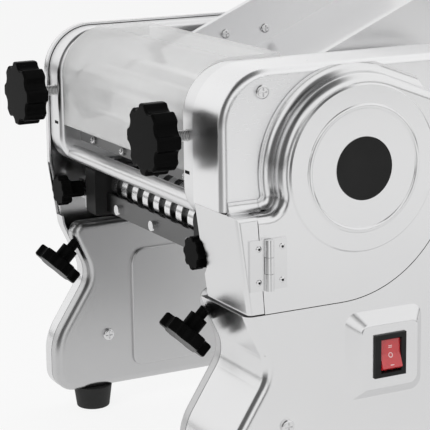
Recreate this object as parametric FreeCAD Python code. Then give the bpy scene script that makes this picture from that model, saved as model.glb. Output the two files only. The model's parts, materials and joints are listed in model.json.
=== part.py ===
"""Electric countertop pasta roller machine with a noodle cutter, one STEP file per piece, in millimetres.

X runs along the rollers to the drive side, Y to the back, Z up from the counter.
"""
import FreeCAD, Part
import math
import os

os.makedirs("parts", exist_ok=True)

# Driving dimensions of the casing
TRAY_HALF = 95.0           # half of the working width
TRAY_SIDE_GAP = 12.0       # from the tray to a side frame
FRAME_PLATE = 3.0          # plate of a side frame
RIM_WIDTH = 20.0           # depth of a side frame's folded rim
SHEET = 1.5                # sheet steel of the shells
SEAM = 0.6                 # gap left between neighbouring shells
CASE_FRONT = -141.0        # front of the upper casing
CASE_BACK = 95.0           # back of the upper casing
CASE_TOP = 320.0           # top of the upper casing
CASE_CORNER = 38.0         # large corners of the upper casing
FRAME_BOTTOM = 209.0       # underside of a side frame
FRAME_CORNER = 24.0        # lower corners of a side frame
RIM_SLOT_Z = 244.0         # small slot in the front of the rim
FRAME_INSET = 2.0          # the frame lies this far inside the casing outline
LEFT_COVER_DEPTH = 10.0    # shallow cover on the plain side
RIGHT_SHELL_DEPTH = 41.0   # upper shell on the drive side
DRIVE_BULGE = 18.0         # how far the drive housing stands out of the upper shell
EDGE_ROUND = 6.0           # rolled edges of the shells

# Violin outline of the legs
LEG_FOOT_Y = -148.0        # front of the leg at the counter
LEG_BOTTOM = 18.5          # underside of the legs
LEG_FLARE_Z = 63.0         # where the flare reaches the foot's front
WAIST_Y = -114.3           # narrowest part of the leg
WAIST_Z = 115.0
SHOULDER_Y = -133.4        # where the waist runs out into the casing
SHOULDER_Z = 156.5
LEG_TOP = 160.0            # top of an inner leg half
LEG_SPLIT = 12.0           # depth of an inner leg half
FOOT_ROUND = 16.0
FLARE_ROUND = 45.0
WAIST_ROUND = 24.0
SHOULDER_ROUND = 9.0
PANEL_HEIGHT = 2.5         # embossed panel on an inner leg half
PANEL_HALF = 57.0

# Rubber feet
FOOT_TOP_R = 16.0
FOOT_BOTTOM_R = 13.5
FOOT_FRONT_INSET = 36.0    # foot centre behind the leg's front
DRIVE_FOOT_OUT = 41.0      # drive side foot, outside the frame's inner face

# Press rollers and their bearings
ROLLER_R = 20.5
ROLLER_GAP = 0.5           # gap between the rollers, closed
ROLLER_Y = -107.0          # front roller axis
ROLLER_Z = 270.0
ROLLER_SIDE_GAP = 3.0      # from a roller's end to the frame
JOURNAL_R = 8.0
GAP_TRAVEL = 3.0           # the front roller slides this far
BEARING_R = 14.0
BLOCK_HALF = 14.0          # half height of a sliding block
BLOCK_LENGTH = 18.5
SLIDE_CLEAR = 0.3
RUN_CLEAR = 0.05           # running fits
SHAFT_CLEAR = 1.0          # notches that shafts pass through
FIT_CLEAR = 0.02           # close fits inside one body

# Gears
ROLLER_TEETH = 20
PINION_TEETH = 12
IDLER_TEETH = 18
CUTTER_TEETH = 18
PAIR_TEETH = 14
PAIR_WIDTH = 5.0
GEAR_START = 21.0          # first gear face, outside the frame's inner face
GEAR_WIDTH = 10.0
GEAR_GAP = 2.0
PINION_ANGLE = -40.0       # the counter shaft lies this way from the rear roller
BACKLASH = 0.16            # share of the pitch left free between teeth

# Counter shaft, belt and motor
COUNTER_R = 6.0
PULLEY_R = 48.0
MOTOR_PULLEY_R = 12.0
PULLEY_WIDTH = 8.0
PULLEY_FLANGE = 1.2
PULLEY_RIM = 3.0
BELT_THICK = 3.0
BELT_CLEAR = 0.3
BELT_ROOM = 8.0            # room beside the belt where it passes a wall
BELT_ROOM_TALL = 36.0
MOTOR_R = 42.0
MOTOR_LENGTH = 46.0
MOTOR_Y = -23.0
MOTOR_Z = 76.0
MOTOR_SHAFT_R = 5.0

# Gap knobs
KNOB_R = 25.0
KNOB_THICK = 18.0
KNOB_LOBES = 8
KNOB_EDGE = 1.6            # rounded edges of the knobs
KNOB_HUB = 3.0
STUD_IN = 5.5              # stud end inside its sliding block
KNOB_FRONT = -173.0
STUD_R = 4.0
STUD_OUT = 8.0             # stud line, outside the frame's inner face

# Noodle cutter
CUTTER_R = 14.0
CUTTER_GROOVE = 5.0        # depth of a cutter groove
CUTTER_PITCH = 19.0        # two noodle widths
CUTTER_SIDE = 0.25         # clearance beside each ring
CUTTER_SHAFT_R = 4.0
BLOCK_WIDE = 18.0          # end block
BLOCK_GAP = 3.0            # from an end block to the frame
BLOCK_FRONT = -120.0
BLOCK_DEPTH = 66.0
BLOCK_TOP = 207.0
BLOCK_LOW = 170.0
GUIDE_BEHIND = 10.0        # guide plate behind the front of the end blocks
GUIDE_UP = 3.0             # guide plate above the underside of the end blocks
GUIDE_UNDER = 6.0          # guide plate below the cutter axis
GUIDE_DEEP = 26.0
GUIDE_SHEET = 1.8
BOLT_R = 4.0
BOLT_TALL = 3.0
CUTTER_PIN_R = 4.5
CUTTER_PIN_Y = -104.0
CUTTER_PIN_Z = 179.0
SMALL_KNOB_R = 12.0
SMALL_KNOB_THICK = 9.0
SMALL_KNOB_OUT = 11.0      # small knob line, outside the frame's inner face
SMALL_KNOB_Z = 187.0
SMALL_KNOB_FRONT = -139.0
SMALL_STUD_R = 3.0

# Leg knobs
LEG_KNOB_R = 20.0
LEG_KNOB_THICK = 10.0
LEG_KNOB_STEM_R = 7.0
LEG_KNOB_STEM = 11.0
LEG_KNOB_STUD = 16.0
LEG_KNOB_TILT = 45.0
LEG_KNOB_Y = -146.0
LEG_KNOB_Z = 124.0
LEG_KNOB_OUT = 7.0         # leg knob line, outside the frame's inner face

# Tie bars
TIE_R = 6.3
TIE_FRONT_Y = -126.5
TIE_FRONT_Z = 219.0
TIE_BACK_Y = 66.0
TIE_BACK_Z = 228.0

# Clear hood over the rollers
HOOD_THICK = 3.0
HOOD_END = 0.3             # from the hood's end to the frame
HOOD_FRONT = -136.0
HOOD_BACK = -60.0
HOOD_LOW = 243.0
CHEEK_DEEP = 10.5          # cheeks that stiffen the hood along both ends
CHEEK_THICK = 2.2

# Scraper under the front roller
SCRAPER_FRONT = -122.0
SCRAPER_LOW = 229.0
SCRAPER_TALL = 8.0
SCRAPER_DEEP = 5.0
BLADE_THICK = 1.2
BLADE_GAP = 0.6            # from the blade's edge to the roller when it is open

# Feed tray
TRAY_SLOPE = 23.5
TRAY_WALL = 38.0
TRAY_LIP = 6.0             # folded lip along a tray wall
TRAY_LIP_START = 30.0      # the lip begins this far up the tray
TRAY_SHEET = 1.5
TRAY_START_Y = -40.0
TRAY_START_Z = 263.5
TRAY_LENGTH = 213.0
TRAY_ROLLER_CLEAR = 2.5

# Gear cover door and its hinge
DOME_Y = -41.0
DOME_Z = 249.0
DOME_R = 64.6
DOOR_SWEEP_Y = -58.0
DOOR_SWEEP_R = 92.0
DOOR_LOW = 157.0
DOOR_SLOPE = 21.0
POST_TOP = 225.0
POST_WIDE_LOW = 12.5       # hinge post, in front of the seam
POST_WIDE_TOP = 16.5
SEAM_BESIDE = 17.9         # top of the door's front seam, in front of the dome
SEAM_LEAN = 5.0            # foot of the seam behind its top
HINGE_BEHIND = 7.2         # hinge line behind the top of the seam
DOOR_FILLET = 10.0
DOOR_WALL_CLEAR = 2.0
COVE_R = 6.0               # hollow rounding at the foot of the drawn dome
COVE_FLANGE = 7.5          # flat flange round the dome, past its wall
FLANGE_LIFT = 0.4          # flange above the upper shell
PLATEAU_RISE = 1.2
PLATEAU_INSET = 0.1        # raised middle inside the rolled edge
RING_R = 43.0
RING_WIDTH = 2.4
RING_RISE = 0.9
BADGE_R = 22.0
BADGE_THICK = 1.0
HINGE_LOW = 174.0
HINGE_TALL = 35.0
HINGE_PIN_R = 1.9
HINGE_KNUCKLE_R = 3.2
LEAF_THICK = 1.4
LEAF_WIDE = 14.2
RIVET_R = 2.3
RIVET_TALL = 1.0
RIVET_BORE_R = 0.8         # small hollow in the middle of a rivet head
DOOR_GAP = 0.6             # seam round the door
SWEEP_RETURN = 5.0         # shallow return along the curved edge, so that the door swings clear

# Rocker switch
SWITCH_Y = -23.7
SWITCH_Z = 116.0
SURROUND_SIDE = 64.0       # raised square round the switch, at its base
SURROUND_TOP = 46.0
SURROUND_RISE = 8.0
SWITCH_WIDE = 25.6
SWITCH_TALL = 31.0
BEZEL_THICK = 2.4
SWITCH_WELL_WIDE = 17.0
SWITCH_WELL_TALL = 24.5
SWITCH_DEEP = 20.0
ROCKER_CLEAR = 0.4         # rocker to the sides and ends of its well
ROCKER_PIVOT_DEEP = 4.0    # pivot below the switch face
ROCKER_PIN_R = 1.5
ROCKER_PIN_END = 1.2       # pivot pins past the rocker sides
ROCKER_DIP = 1.6           # dip of the rocker between its ends
ROCKER_TIP = 12.0          # tilt of the rocker at rest, in degrees

# Screws
SCREW_HEAD_R = 5.0
SCREW_HEAD_TALL = 2.6
SCREW_R = 2.0
SMALL_SCREW_R = 1.4
SMALL_SCREW_HEAD_R = 3.0
SMALL_SCREW_LONG = 4.0
TRAY_SCREW_HEAD_R = 4.0
CASE_SCREW_IN = 31.0       # casing screw from the front or back
CASE_SCREW_DOWN = 15.0     # casing screw below the top
LEG_SCREW_IN = 46.0

# Places worked out from the sizes above
MID_Y = (CASE_FRONT + CASE_BACK) / 2.0
INNER_X = TRAY_HALF + TRAY_SIDE_GAP
PLATE_X = INNER_X + FRAME_PLATE
DRIVE_FOOT_X = INNER_X + DRIVE_FOOT_OUT
RIM_X = INNER_X + RIM_WIDTH
LEFT_X = RIM_X + SEAM + LEFT_COVER_DEPTH
SHELL_X = RIM_X + SEAM + RIGHT_SHELL_DEPTH
DRIVE_X = SHELL_X + DRIVE_BULGE
LEG_IN_X = PLATE_X - SHEET
LEG_SPLIT_X = LEG_IN_X + LEG_SPLIT
REAR_ROLLER_Y = ROLLER_Y + 2.0 * ROLLER_R + ROLLER_GAP
ROLLER_END = INNER_X - ROLLER_SIDE_GAP
GEAR_MODULE = (REAR_ROLLER_Y - ROLLER_Y) / ROLLER_TEETH
ROLLER_PITCH_R = GEAR_MODULE * ROLLER_TEETH / 2.0
PINION_PITCH_R = GEAR_MODULE * PINION_TEETH / 2.0
IDLER_PITCH_R = GEAR_MODULE * IDLER_TEETH / 2.0
CUTTER_PITCH_R = GEAR_MODULE * CUTTER_TEETH / 2.0
COUNTER_DISTANCE = ROLLER_PITCH_R + PINION_PITCH_R
COUNTER_Y = REAR_ROLLER_Y + COUNTER_DISTANCE * math.cos(math.radians(PINION_ANGLE))
COUNTER_Z = ROLLER_Z + COUNTER_DISTANCE * math.sin(math.radians(PINION_ANGLE))
BELT_SHARE = (COUNTER_Z - DOOR_LOW) / (COUNTER_Z - MOTOR_Z)
BELT_Y = COUNTER_Y + (MOTOR_Y - COUNTER_Y) * BELT_SHARE
BELT_HALF = PULLEY_R + (MOTOR_PULLEY_R - PULLEY_R) * BELT_SHARE + BELT_THICK + BELT_ROOM
IDLER_ANGLE = -102.62      # direction from the rear roller to the idler, in degrees
IDLER_DISTANCE = ROLLER_PITCH_R + IDLER_PITCH_R
IDLER_Y = REAR_ROLLER_Y + IDLER_DISTANCE * math.cos(math.radians(IDLER_ANGLE))
IDLER_Z = ROLLER_Z + IDLER_DISTANCE * math.sin(math.radians(IDLER_ANGLE))
CUTTER_ANGLE = -84.94      # direction from the idler to the rear cutter roller, in degrees
CUTTER_DISTANCE = IDLER_PITCH_R + CUTTER_PITCH_R
CUTTER_BACK_Y = IDLER_Y + CUTTER_DISTANCE * math.cos(math.radians(CUTTER_ANGLE))
CUTTER_Z = IDLER_Z + CUTTER_DISTANCE * math.sin(math.radians(CUTTER_ANGLE))
CUTTER_SPACING = 2.0 * CUTTER_R - CUTTER_GROOVE + CUTTER_SIDE
CUTTER_Y = CUTTER_BACK_Y - CUTTER_SPACING
CUTTER_END = INNER_X - BLOCK_GAP - BLOCK_WIDE
GEAR_X = INNER_X + GEAR_START
PINION_X = GEAR_X + GEAR_WIDTH + GEAR_GAP
PULLEY_X = DRIVE_X - SHEET - DOOR_WALL_CLEAR - PULLEY_WIDTH
BRACKET_X = PLATE_X + FRAME_PLATE
STUD_X = INNER_X + STUD_OUT
SMALL_KNOB_X = INNER_X + SMALL_KNOB_OUT
LEG_KNOB_X = INNER_X + LEG_KNOB_OUT
HINGE_X = DRIVE_X + HINGE_KNUCKLE_R - LEAF_THICK / 2.0
DOOR_SEAM_TOP = DOME_Y - DOME_R - SEAM_BESIDE
DOOR_SEAM_LOW = DOOR_SEAM_TOP + SEAM_LEAN
HINGE_Y = DOOR_SEAM_TOP + HINGE_BEHIND
POST_FRONT_LOW = DOOR_SEAM_LOW - POST_WIDE_LOW
PLATEAU_R = DOME_R - EDGE_ROUND - PLATEAU_INSET
TRAY_TILT = math.radians(TRAY_SLOPE)
TRAY_END_Y = TRAY_START_Y + TRAY_LENGTH * math.cos(TRAY_TILT) + TRAY_SHEET * math.sin(TRAY_TILT)
FACE_X = DRIVE_X + SURROUND_RISE
ROCKER_REACH = SWITCH_WELL_TALL / 2.0 - ROCKER_CLEAR
ROCKER_PIVOT_X = FACE_X - ROCKER_PIVOT_DEEP
ROCKER_LIP = ROCKER_PIVOT_DEEP + BEZEL_THICK
ROCKER_LIP_ANGLE = math.degrees(math.asin(ROCKER_LIP / ROCKER_REACH))
ROCKER_FACE = ROCKER_PIVOT_X + ROCKER_REACH * math.sin(math.radians(ROCKER_LIP_ANGLE + ROCKER_TIP))

# The origin is the middle of the machine's footprint
ORIGIN = FreeCAD.Vector(
    (ROCKER_FACE - LEFT_X - SCREW_HEAD_TALL) / 2.0, (KNOB_FRONT + TRAY_END_Y) / 2.0, 0.0
)

X_AXIS = FreeCAD.Vector(1, 0, 0)
Y_AXIS = FreeCAD.Vector(0, 1, 0)
Z_AXIS = FreeCAD.Vector(0, 0, 1)


def at(x, y, z):
    """A point in the roller frame, whose X is measured from the middle of the rollers."""
    return FreeCAD.Vector(x, y, z)


def save(name, shape):
    """Moves a piece from the roller frame to the footprint frame and writes it."""
    piece = shape.copy()
    piece.translate(ORIGIN * -1.0)
    piece.exportStep("parts/" + name + ".step")


def block(x0, x1, y0, y1, z0, z1):
    return Part.makeBox(x1 - x0, y1 - y0, z1 - z0, at(x0, y0, z0))


def rod_x(radius, x0, x1, y, z):
    return Part.makeCylinder(radius, x1 - x0, at(x0, y, z), X_AXIS)


def rod_y(radius, y0, y1, x, z):
    return Part.makeCylinder(radius, y1 - y0, at(x, y0, z), Y_AXIS)


def join(first, *others):
    return first.fuse(list(others)).removeSplitter()


def mirror_x(shape):
    return shape.mirror(at(0, 0, 0), X_AXIS)


def rounded_face(corners):
    """A flat face in the YZ plane from corners (y, z, radius), each rounded by its radius."""
    count = len(corners)
    edges = []
    ends = []
    for i, (y, z, radius) in enumerate(corners):
        here = at(0, y, z)
        before = at(0, *corners[i - 1][:2]) - here
        after = at(0, *corners[(i + 1) % count][:2]) - here
        before.normalize()
        after.normalize()
        if radius == 0:
            ends.append((here, here))
            continue
        half = before.getAngle(after) / 2.0
        reach = radius / math.tan(half)
        inward = before + after
        inward.normalize()
        middle = here + inward * (radius / math.sin(half) - radius)
        start = here + before * reach
        stop = here + after * reach
        edges.append(Part.Arc(start, middle, stop).toShape())
        ends.append((start, stop))
    for i in range(count):
        start = ends[i][1]
        stop = ends[(i + 1) % count][0]
        if start.distanceToPoint(stop) > 1e-6:
            edges.append(Part.LineSegment(start, stop).toShape())
    return Part.Face(Part.Wire(Part.__sortEdges__(edges)))


def plate_yz(face, x0, x1):
    piece = face.copy()
    piece.translate(at(x0, 0, 0))
    return piece.extrude(at(x1 - x0, 0, 0))


def rim_edges(shape, x):
    """The edges of a solid that lie in the plane at x."""
    found = []
    for edge in shape.Edges:
        box = edge.BoundBox
        if abs(box.XMin - x) < 1e-4 and abs(box.XMax - x) < 1e-4:
            found.append(edge)
    return found


def middle_of(edge):
    return edge.valueAt((edge.FirstParameter + edge.LastParameter) / 2.0)


def pan(face, x_open, x_closed, wall, edge_round):
    """A pressed pan with a rolled edge: open at x_open, closed at x_closed."""
    sign = 1.0 if x_closed > x_open else -1.0
    outer = plate_yz(face, x_open, x_closed)
    outer = outer.makeFillet(edge_round, rim_edges(outer, x_closed))
    inner_face = face.makeOffset2D(-wall)
    inner = plate_yz(inner_face, x_open - sign, x_closed - sign * wall)
    inner = inner.makeFillet(edge_round - wall, rim_edges(inner, x_closed - sign * wall))
    return outer.cut(inner)


def both_ends(corners):
    """Adds the mirrored back half to the front half of an outline that starts low and ends high."""
    back = [(2.0 * MID_Y - y, z, radius) for y, z, radius in reversed(corners)]
    return corners + back


def gear_face(teeth, turn, module):
    """A spur gear outline in the YZ plane about the origin; turn is in degrees."""
    pitch_r = module * teeth / 2.0
    tip_r = pitch_r + 0.85 * module
    root_r = pitch_r - 1.2 * module
    base_r = pitch_r * math.cos(math.radians(20.0))
    half_tooth = math.pi / teeth * (0.5 - BACKLASH / 2.0)
    pitch_roll = math.tan(math.radians(20.0)) - math.radians(20.0)
    flank = []
    for step in range(5):
        radius = max(base_r, root_r) + (tip_r - max(base_r, root_r)) * step / 4.0
        press = math.acos(min(1.0, base_r / radius))
        flank.append((radius, half_tooth + pitch_roll - (math.tan(press) - press)))
    points = []
    for tooth in range(teeth):
        middle = math.radians(turn) + 2.0 * math.pi * tooth / teeth
        left = [(root_r, -flank[0][1])] + [(r, -a) for r, a in flank]
        right = [(r, a) for r, a in reversed(flank)] + [(root_r, flank[0][1])]
        for radius, angle in left + right:
            points.append(at(0, radius * math.cos(middle + angle), radius * math.sin(middle + angle)))
    return Part.Face(Part.makePolygon(points + points[:1]))


def gear(teeth, turn, x0, x1, y, z, bore, module=GEAR_MODULE):
    wheel = plate_yz(gear_face(teeth, turn, module), x0, x1)
    wheel.translate(at(0, y, z))
    return wheel.cut(rod_x(bore, x0 - 1, x1 + 1, y, z))


def mesh_turn(teeth, turn, direction, other_teeth):
    """Turn of a gear that meshes with one of other_teeth at turn, which lies this way from it."""
    other_pitch = 360.0 / other_teeth
    phase = ((direction - turn) % other_pitch) / other_pitch
    return direction + 180.0 + (phase + 0.5) * 360.0 / teeth


def screw(place, axis, head_r, shank_r, shank):
    """A pan head screw with a cross recess, its head on place and pointing along axis."""
    head = Part.makeCylinder(head_r, SCREW_HEAD_TALL)
    crown = [e for e in head.Edges if e.CenterOfMass.z > SCREW_HEAD_TALL * 0.9]
    head = head.makeFillet(SCREW_HEAD_TALL * 0.6, crown[:1])
    arm = head_r * 0.62
    slot = head_r * 0.12
    bottom = SCREW_HEAD_TALL * 0.45
    recess = [
        Part.makeBox(2.0 * arm, 2.0 * slot, SCREW_HEAD_TALL, at(-arm, -slot, bottom)),
        Part.makeBox(2.0 * slot, 2.0 * arm, SCREW_HEAD_TALL, at(-slot, -arm, bottom)),
    ]
    made = join(head.cut(recess), Part.makeCylinder(shank_r, shank, at(0, 0, -shank)))
    made.Placement = FreeCAD.Placement(place, FreeCAD.Rotation(Z_AXIS, axis))
    return made


def screw_hole(place, axis, shank_r, shank):
    return Part.makeCylinder(shank_r + FIT_CLEAR, shank, place, axis * -1.0)


def lobed_knob(radius, lobes, thick, edge):
    """A star knob on the Y axis, its front at y = 0, its back at y = thick."""
    body = Part.makeCylinder(radius, thick, at(0, 0, 0), Y_AXIS)
    scallop_r = radius * math.sin(math.pi / lobes) * 0.66
    scallops = []
    for i in range(lobes):
        angle = 2.0 * math.pi * (i + 0.5) / lobes
        reach = radius + scallop_r * 0.45
        scallops.append(rod_y(
            scallop_r, -1, thick + 1, reach * math.cos(angle), reach * math.sin(angle)
        ))
    body = body.cut(scallops)
    corners = [e for e in body.Edges if isinstance(e.Curve, Part.Line) and e.BoundBox.YLength > thick * 0.9]
    body = body.makeFillet(edge * 1.5, corners)
    ends = [e for e in body.Edges if e.BoundBox.YLength < 1e-4]
    return body.makeFillet(edge, ends)


# Casing screws: upper corners outside, legs outside on the drive side and inside on the plain side
SCREW_SHANK = 10.0
case_screw_ys = (CASE_FRONT + CASE_SCREW_IN, CASE_BACK - CASE_SCREW_IN)
leg_screw_ys = (LEG_FOOT_Y + LEG_SCREW_IN, 2.0 * MID_Y - LEG_FOOT_Y - LEG_SCREW_IN)
case_screw_z = CASE_TOP - CASE_SCREW_DOWN
right_shell_screws = [(at(SHELL_X, y, case_screw_z), X_AXIS) for y in case_screw_ys]
left_shell_screws = [(at(-LEFT_X, y, case_screw_z), X_AXIS * -1.0) for y in case_screw_ys]
right_leg_screws = [(at(DRIVE_X, y, LEG_FLARE_Z + 12.0), X_AXIS) for y in leg_screw_ys]
left_leg_screws = [(at(-LEG_IN_X, y, LEG_FLARE_Z), X_AXIS) for y in leg_screw_ys]


def pierced(shape, places):
    """A sheet with a hole for each screw."""
    return shape.cut([screw_hole(place, axis, SCREW_R, SCREW_SHANK) for place, axis in places])


def tray_floor_z(y):
    return TRAY_START_Z + (y - TRAY_START_Y) * math.tan(TRAY_TILT)


tray_screw_places = [(y, tray_floor_z(y) + lift) for y, lift in ((3.0, 25.0), (40.0, 11.0))]

# Side frames
frame_corners = [
    (CASE_FRONT + FRAME_INSET, FRAME_BOTTOM, FRAME_CORNER),
    (CASE_FRONT + FRAME_INSET, CASE_TOP - FRAME_INSET, CASE_CORNER - FRAME_INSET),
]
frame_face = rounded_face(both_ends(frame_corners))
window_front = ROLLER_Y - BLOCK_HALF - GAP_TRAVEL - SLIDE_CLEAR
window_back = ROLLER_Y + BLOCK_HALF + SLIDE_CLEAR
window_half = BLOCK_HALF + SLIDE_CLEAR


bracket_front = MID_Y - 50.0
bracket_back = MID_Y + 50.0


def bracket_slot(low, high):
    """Room for a leg bracket where it passes through a folded edge."""
    return block(
        PLATE_X, BRACKET_X + SLIDE_CLEAR, bracket_front - SLIDE_CLEAR, bracket_back + SLIDE_CLEAR, low,
        high)


def side_frame():
    frame = pan(frame_face, RIM_X, INNER_X, FRAME_PLATE, FRAME_PLATE + 1.0)
    holes = [
        block(
            INNER_X - 1, PLATE_X + 1, window_front, window_back, ROLLER_Z - window_half,
            ROLLER_Z + window_half
        ),
        rod_x(BEARING_R + FIT_CLEAR, INNER_X - 1, PLATE_X + 1, REAR_ROLLER_Y, ROLLER_Z),
        rod_y(
            STUD_R + SLIDE_CLEAR, CASE_FRONT - 1, CASE_FRONT + FRAME_INSET + FRAME_PLATE + 1, STUD_X,
            ROLLER_Z
        ),
        rod_x(TIE_R + FIT_CLEAR, INNER_X - 1, PLATE_X + 1, TIE_FRONT_Y, TIE_FRONT_Z),
        rod_x(TIE_R + FIT_CLEAR, INNER_X - 1, PLATE_X + 1, TIE_BACK_Y, TIE_BACK_Z),
        bracket_slot(FRAME_BOTTOM - 1, FRAME_BOTTOM + FRAME_PLATE + 3.0),
        block(
            STUD_X - 3.5, STUD_X + 3.5, CASE_FRONT, CASE_FRONT + FRAME_INSET + FRAME_PLATE + 1,
            RIM_SLOT_Z - 1.2, RIM_SLOT_Z + 1.2),
    ]
    for y, z in tray_screw_places:
        holes.append(rod_x(SCREW_R + FIT_CLEAR, INNER_X - 1, PLATE_X + 1, y, z))
    return frame.cut(holes)


right_frame = side_frame()
left_frame = mirror_x(right_frame)
drive_holes = [
    rod_x(COUNTER_R + FIT_CLEAR, INNER_X - 1, PLATE_X + 1, COUNTER_Y, COUNTER_Z),
    rod_x(COUNTER_R + FIT_CLEAR, INNER_X - 1, PLATE_X + 1, IDLER_Y, IDLER_Z),
]
save("right_side_frame", right_frame.cut(drive_holes))
save("left_side_frame", left_frame)

# Tie bars between the frames
save("front_tie_bar", rod_x(TIE_R, -PLATE_X, PLATE_X, TIE_FRONT_Y, TIE_FRONT_Z))
save("rear_tie_bar", rod_x(TIE_R, -PLATE_X, PLATE_X, TIE_BACK_Y, TIE_BACK_Z))

# Outer shell of the plain side: one violin-shaped pan from the counter to the top
leg_corners = [
    (LEG_FOOT_Y, LEG_BOTTOM, FOOT_ROUND),
    (LEG_FOOT_Y, LEG_FLARE_Z, FLARE_ROUND),
    (WAIST_Y, WAIST_Z, WAIST_ROUND),
]
violin_corners = leg_corners + [
    (SHOULDER_Y, SHOULDER_Z, SHOULDER_ROUND * 3.0),
    (CASE_FRONT, FRAME_BOTTOM, SHOULDER_ROUND * 2.0),
    (CASE_FRONT, CASE_TOP, CASE_CORNER),
]
violin_face = rounded_face(both_ends(violin_corners))
left_shell = pan(violin_face, -LEG_SPLIT_X - SEAM, -LEFT_X, SHEET, EDGE_ROUND)
upper_relief = block(-RIM_X - SEAM, 0, CASE_FRONT - 9, CASE_BACK + 9, FRAME_BOTTOM - 6, CASE_TOP + 9)
knob_recess = block(
    -LEFT_X + EDGE_ROUND, 0, LEG_FOOT_Y, BLOCK_FRONT + 20.0, LEG_TOP + 5.0, FRAME_BOTTOM)
save("left_outer_shell", pierced(left_shell.cut([upper_relief, knob_recess]), left_shell_screws))

# Inner leg halves with a curled top and an embossed panel
inner_leg_corners = leg_corners + [(SHOULDER_Y - 1.5, LEG_TOP, SHOULDER_ROUND)]
inner_leg_face = rounded_face(both_ends(inner_leg_corners))


def leg_stud_room():
    """The bore in an inner leg half that takes a leg knob's stud."""
    room = rod_y(
        STUD_R + RUN_CLEAR, LEG_KNOB_THICK, LEG_KNOB_THICK + LEG_KNOB_STEM + LEG_KNOB_STUD + 2.0, 0, 0
    )
    room.rotate(at(0, 0, 0), X_AXIS, LEG_KNOB_TILT)
    room.translate(at(LEG_KNOB_X, LEG_KNOB_Y, LEG_KNOB_Z))
    return room


def inner_leg():
    leg = pan(inner_leg_face, LEG_SPLIT_X, LEG_IN_X, SHEET, EDGE_ROUND)
    panel_corners = both_ends([
        (MID_Y - PANEL_HALF, LEG_BOTTOM + 14.0, 8.0),
        (MID_Y - PANEL_HALF, WAIST_Z + 18.0, 12.0),
    ])
    panel_face = rounded_face(panel_corners)
    raised = plate_yz(panel_face, LEG_IN_X - PANEL_HEIGHT, LEG_IN_X)
    raised = raised.makeFillet(PANEL_HEIGHT * 0.6, rim_edges(raised, LEG_IN_X - PANEL_HEIGHT))
    dent = plate_yz(panel_face.makeOffset2D(-SHEET), LEG_IN_X - PANEL_HEIGHT + SHEET, PLATE_X + 1)
    return join(leg, raised).cut([
        dent, bracket_slot(LEG_TOP - EDGE_ROUND - 3.0, LEG_TOP + 1), leg_stud_room()
    ])


right_inner_leg = inner_leg()
save("right_inner_leg", right_inner_leg)
save("left_inner_leg", pierced(mirror_x(right_inner_leg), left_leg_screws))

# Leg brackets carry each frame on its leg, and the cutter on a forward arm
bracket_top = FRAME_BOTTOM + 24.0
arm_front = BLOCK_FRONT + 3.0


def leg_bracket():
    spine = block(PLATE_X, BRACKET_X, bracket_front, bracket_back, LEG_BOTTOM + 26.0, bracket_top)
    arm = block(
        PLATE_X, BRACKET_X, arm_front, bracket_front, BLOCK_LOW + 2.0, CUTTER_Z - CUTTER_SHAFT_R - 3.0
    )
    lug = block(
        BRACKET_X, SMALL_KNOB_X + 6.0, arm_front, arm_front + 14.0, SMALL_KNOB_Z - 8.0,
        SMALL_KNOB_Z + 8.0
    )
    bracket = join(spine, arm, lug)
    pin_hole = rod_x(CUTTER_PIN_R + FIT_CLEAR, PLATE_X - 1, BRACKET_X + 1, CUTTER_PIN_Y, CUTTER_PIN_Z)
    stud_hole = rod_y(
        SMALL_STUD_R + RUN_CLEAR, arm_front - 1, arm_front + 15.0, SMALL_KNOB_X, SMALL_KNOB_Z
    )
    return bracket.cut([pin_hole, stud_hole])


right_bracket = leg_bracket()
shaft_notches = [
    rod_x(CUTTER_SHAFT_R + SHAFT_CLEAR, PLATE_X - 1, BRACKET_X + 1, CUTTER_BACK_Y, CUTTER_Z),
    rod_x(COUNTER_R + SHAFT_CLEAR, PLATE_X - 1, BRACKET_X + 1, IDLER_Y, IDLER_Z),
]
save("right_leg_bracket", right_bracket.cut(shaft_notches))
save("left_leg_bracket", mirror_x(right_bracket))

# Rubber feet under the four leg ends
foot_front = LEG_FOOT_Y + FOOT_FRONT_INSET
foot_places = [
    (x, y) for x in (-(LEG_IN_X + LEG_SPLIT), DRIVE_FOOT_X) for y in (
        foot_front, 2.0 * MID_Y - foot_front
    )
]
feet = []
for x, y in foot_places:
    foot = Part.makeCone(FOOT_BOTTOM_R, FOOT_TOP_R, LEG_BOTTOM, at(x, y, 0), Z_AXIS)
    foot = foot.makeFillet(1.5, [e for e in foot.Edges if e.BoundBox.ZMax < 1e-4])
    feet.append(foot)
save("rubber_feet", Part.makeCompound(feet))

# Door outline: dome, sloping back, sweep below, and the seam along the hinge post
slope = math.radians(DOOR_SLOPE)
dome_end = at(0, DOME_Y + DOME_R * math.sin(slope), DOME_Z + DOME_R * math.cos(slope))
slope_way = at(0, math.cos(slope), -math.sin(slope))
sweep_middle = at(0, DOOR_SWEEP_Y, DOOR_LOW + DOOR_SWEEP_R)


def slope_meets_sweep(radius):
    """Where the sloping line crosses a circle round the sweep's middle, on its way to the back."""
    offset = dome_end - sweep_middle
    along = offset.dot(slope_way)
    rest = along * along - offset.dot(offset) + radius * radius
    return dome_end + slope_way * (math.sqrt(rest) - along)


def on_circle(middle, radius, degrees):
    angle = math.radians(degrees)
    return middle + at(0, radius * math.cos(angle), radius * math.sin(angle))


def arc_between(middle, radius, start, stop):
    """Arc from start to stop round middle, the shorter way."""
    toward = (start - middle) + (stop - middle)
    toward.normalize()
    return Part.Arc(start, middle + toward * radius, stop).toShape()


def line(start, stop):
    return Part.LineSegment(start, stop).toShape()


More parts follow.
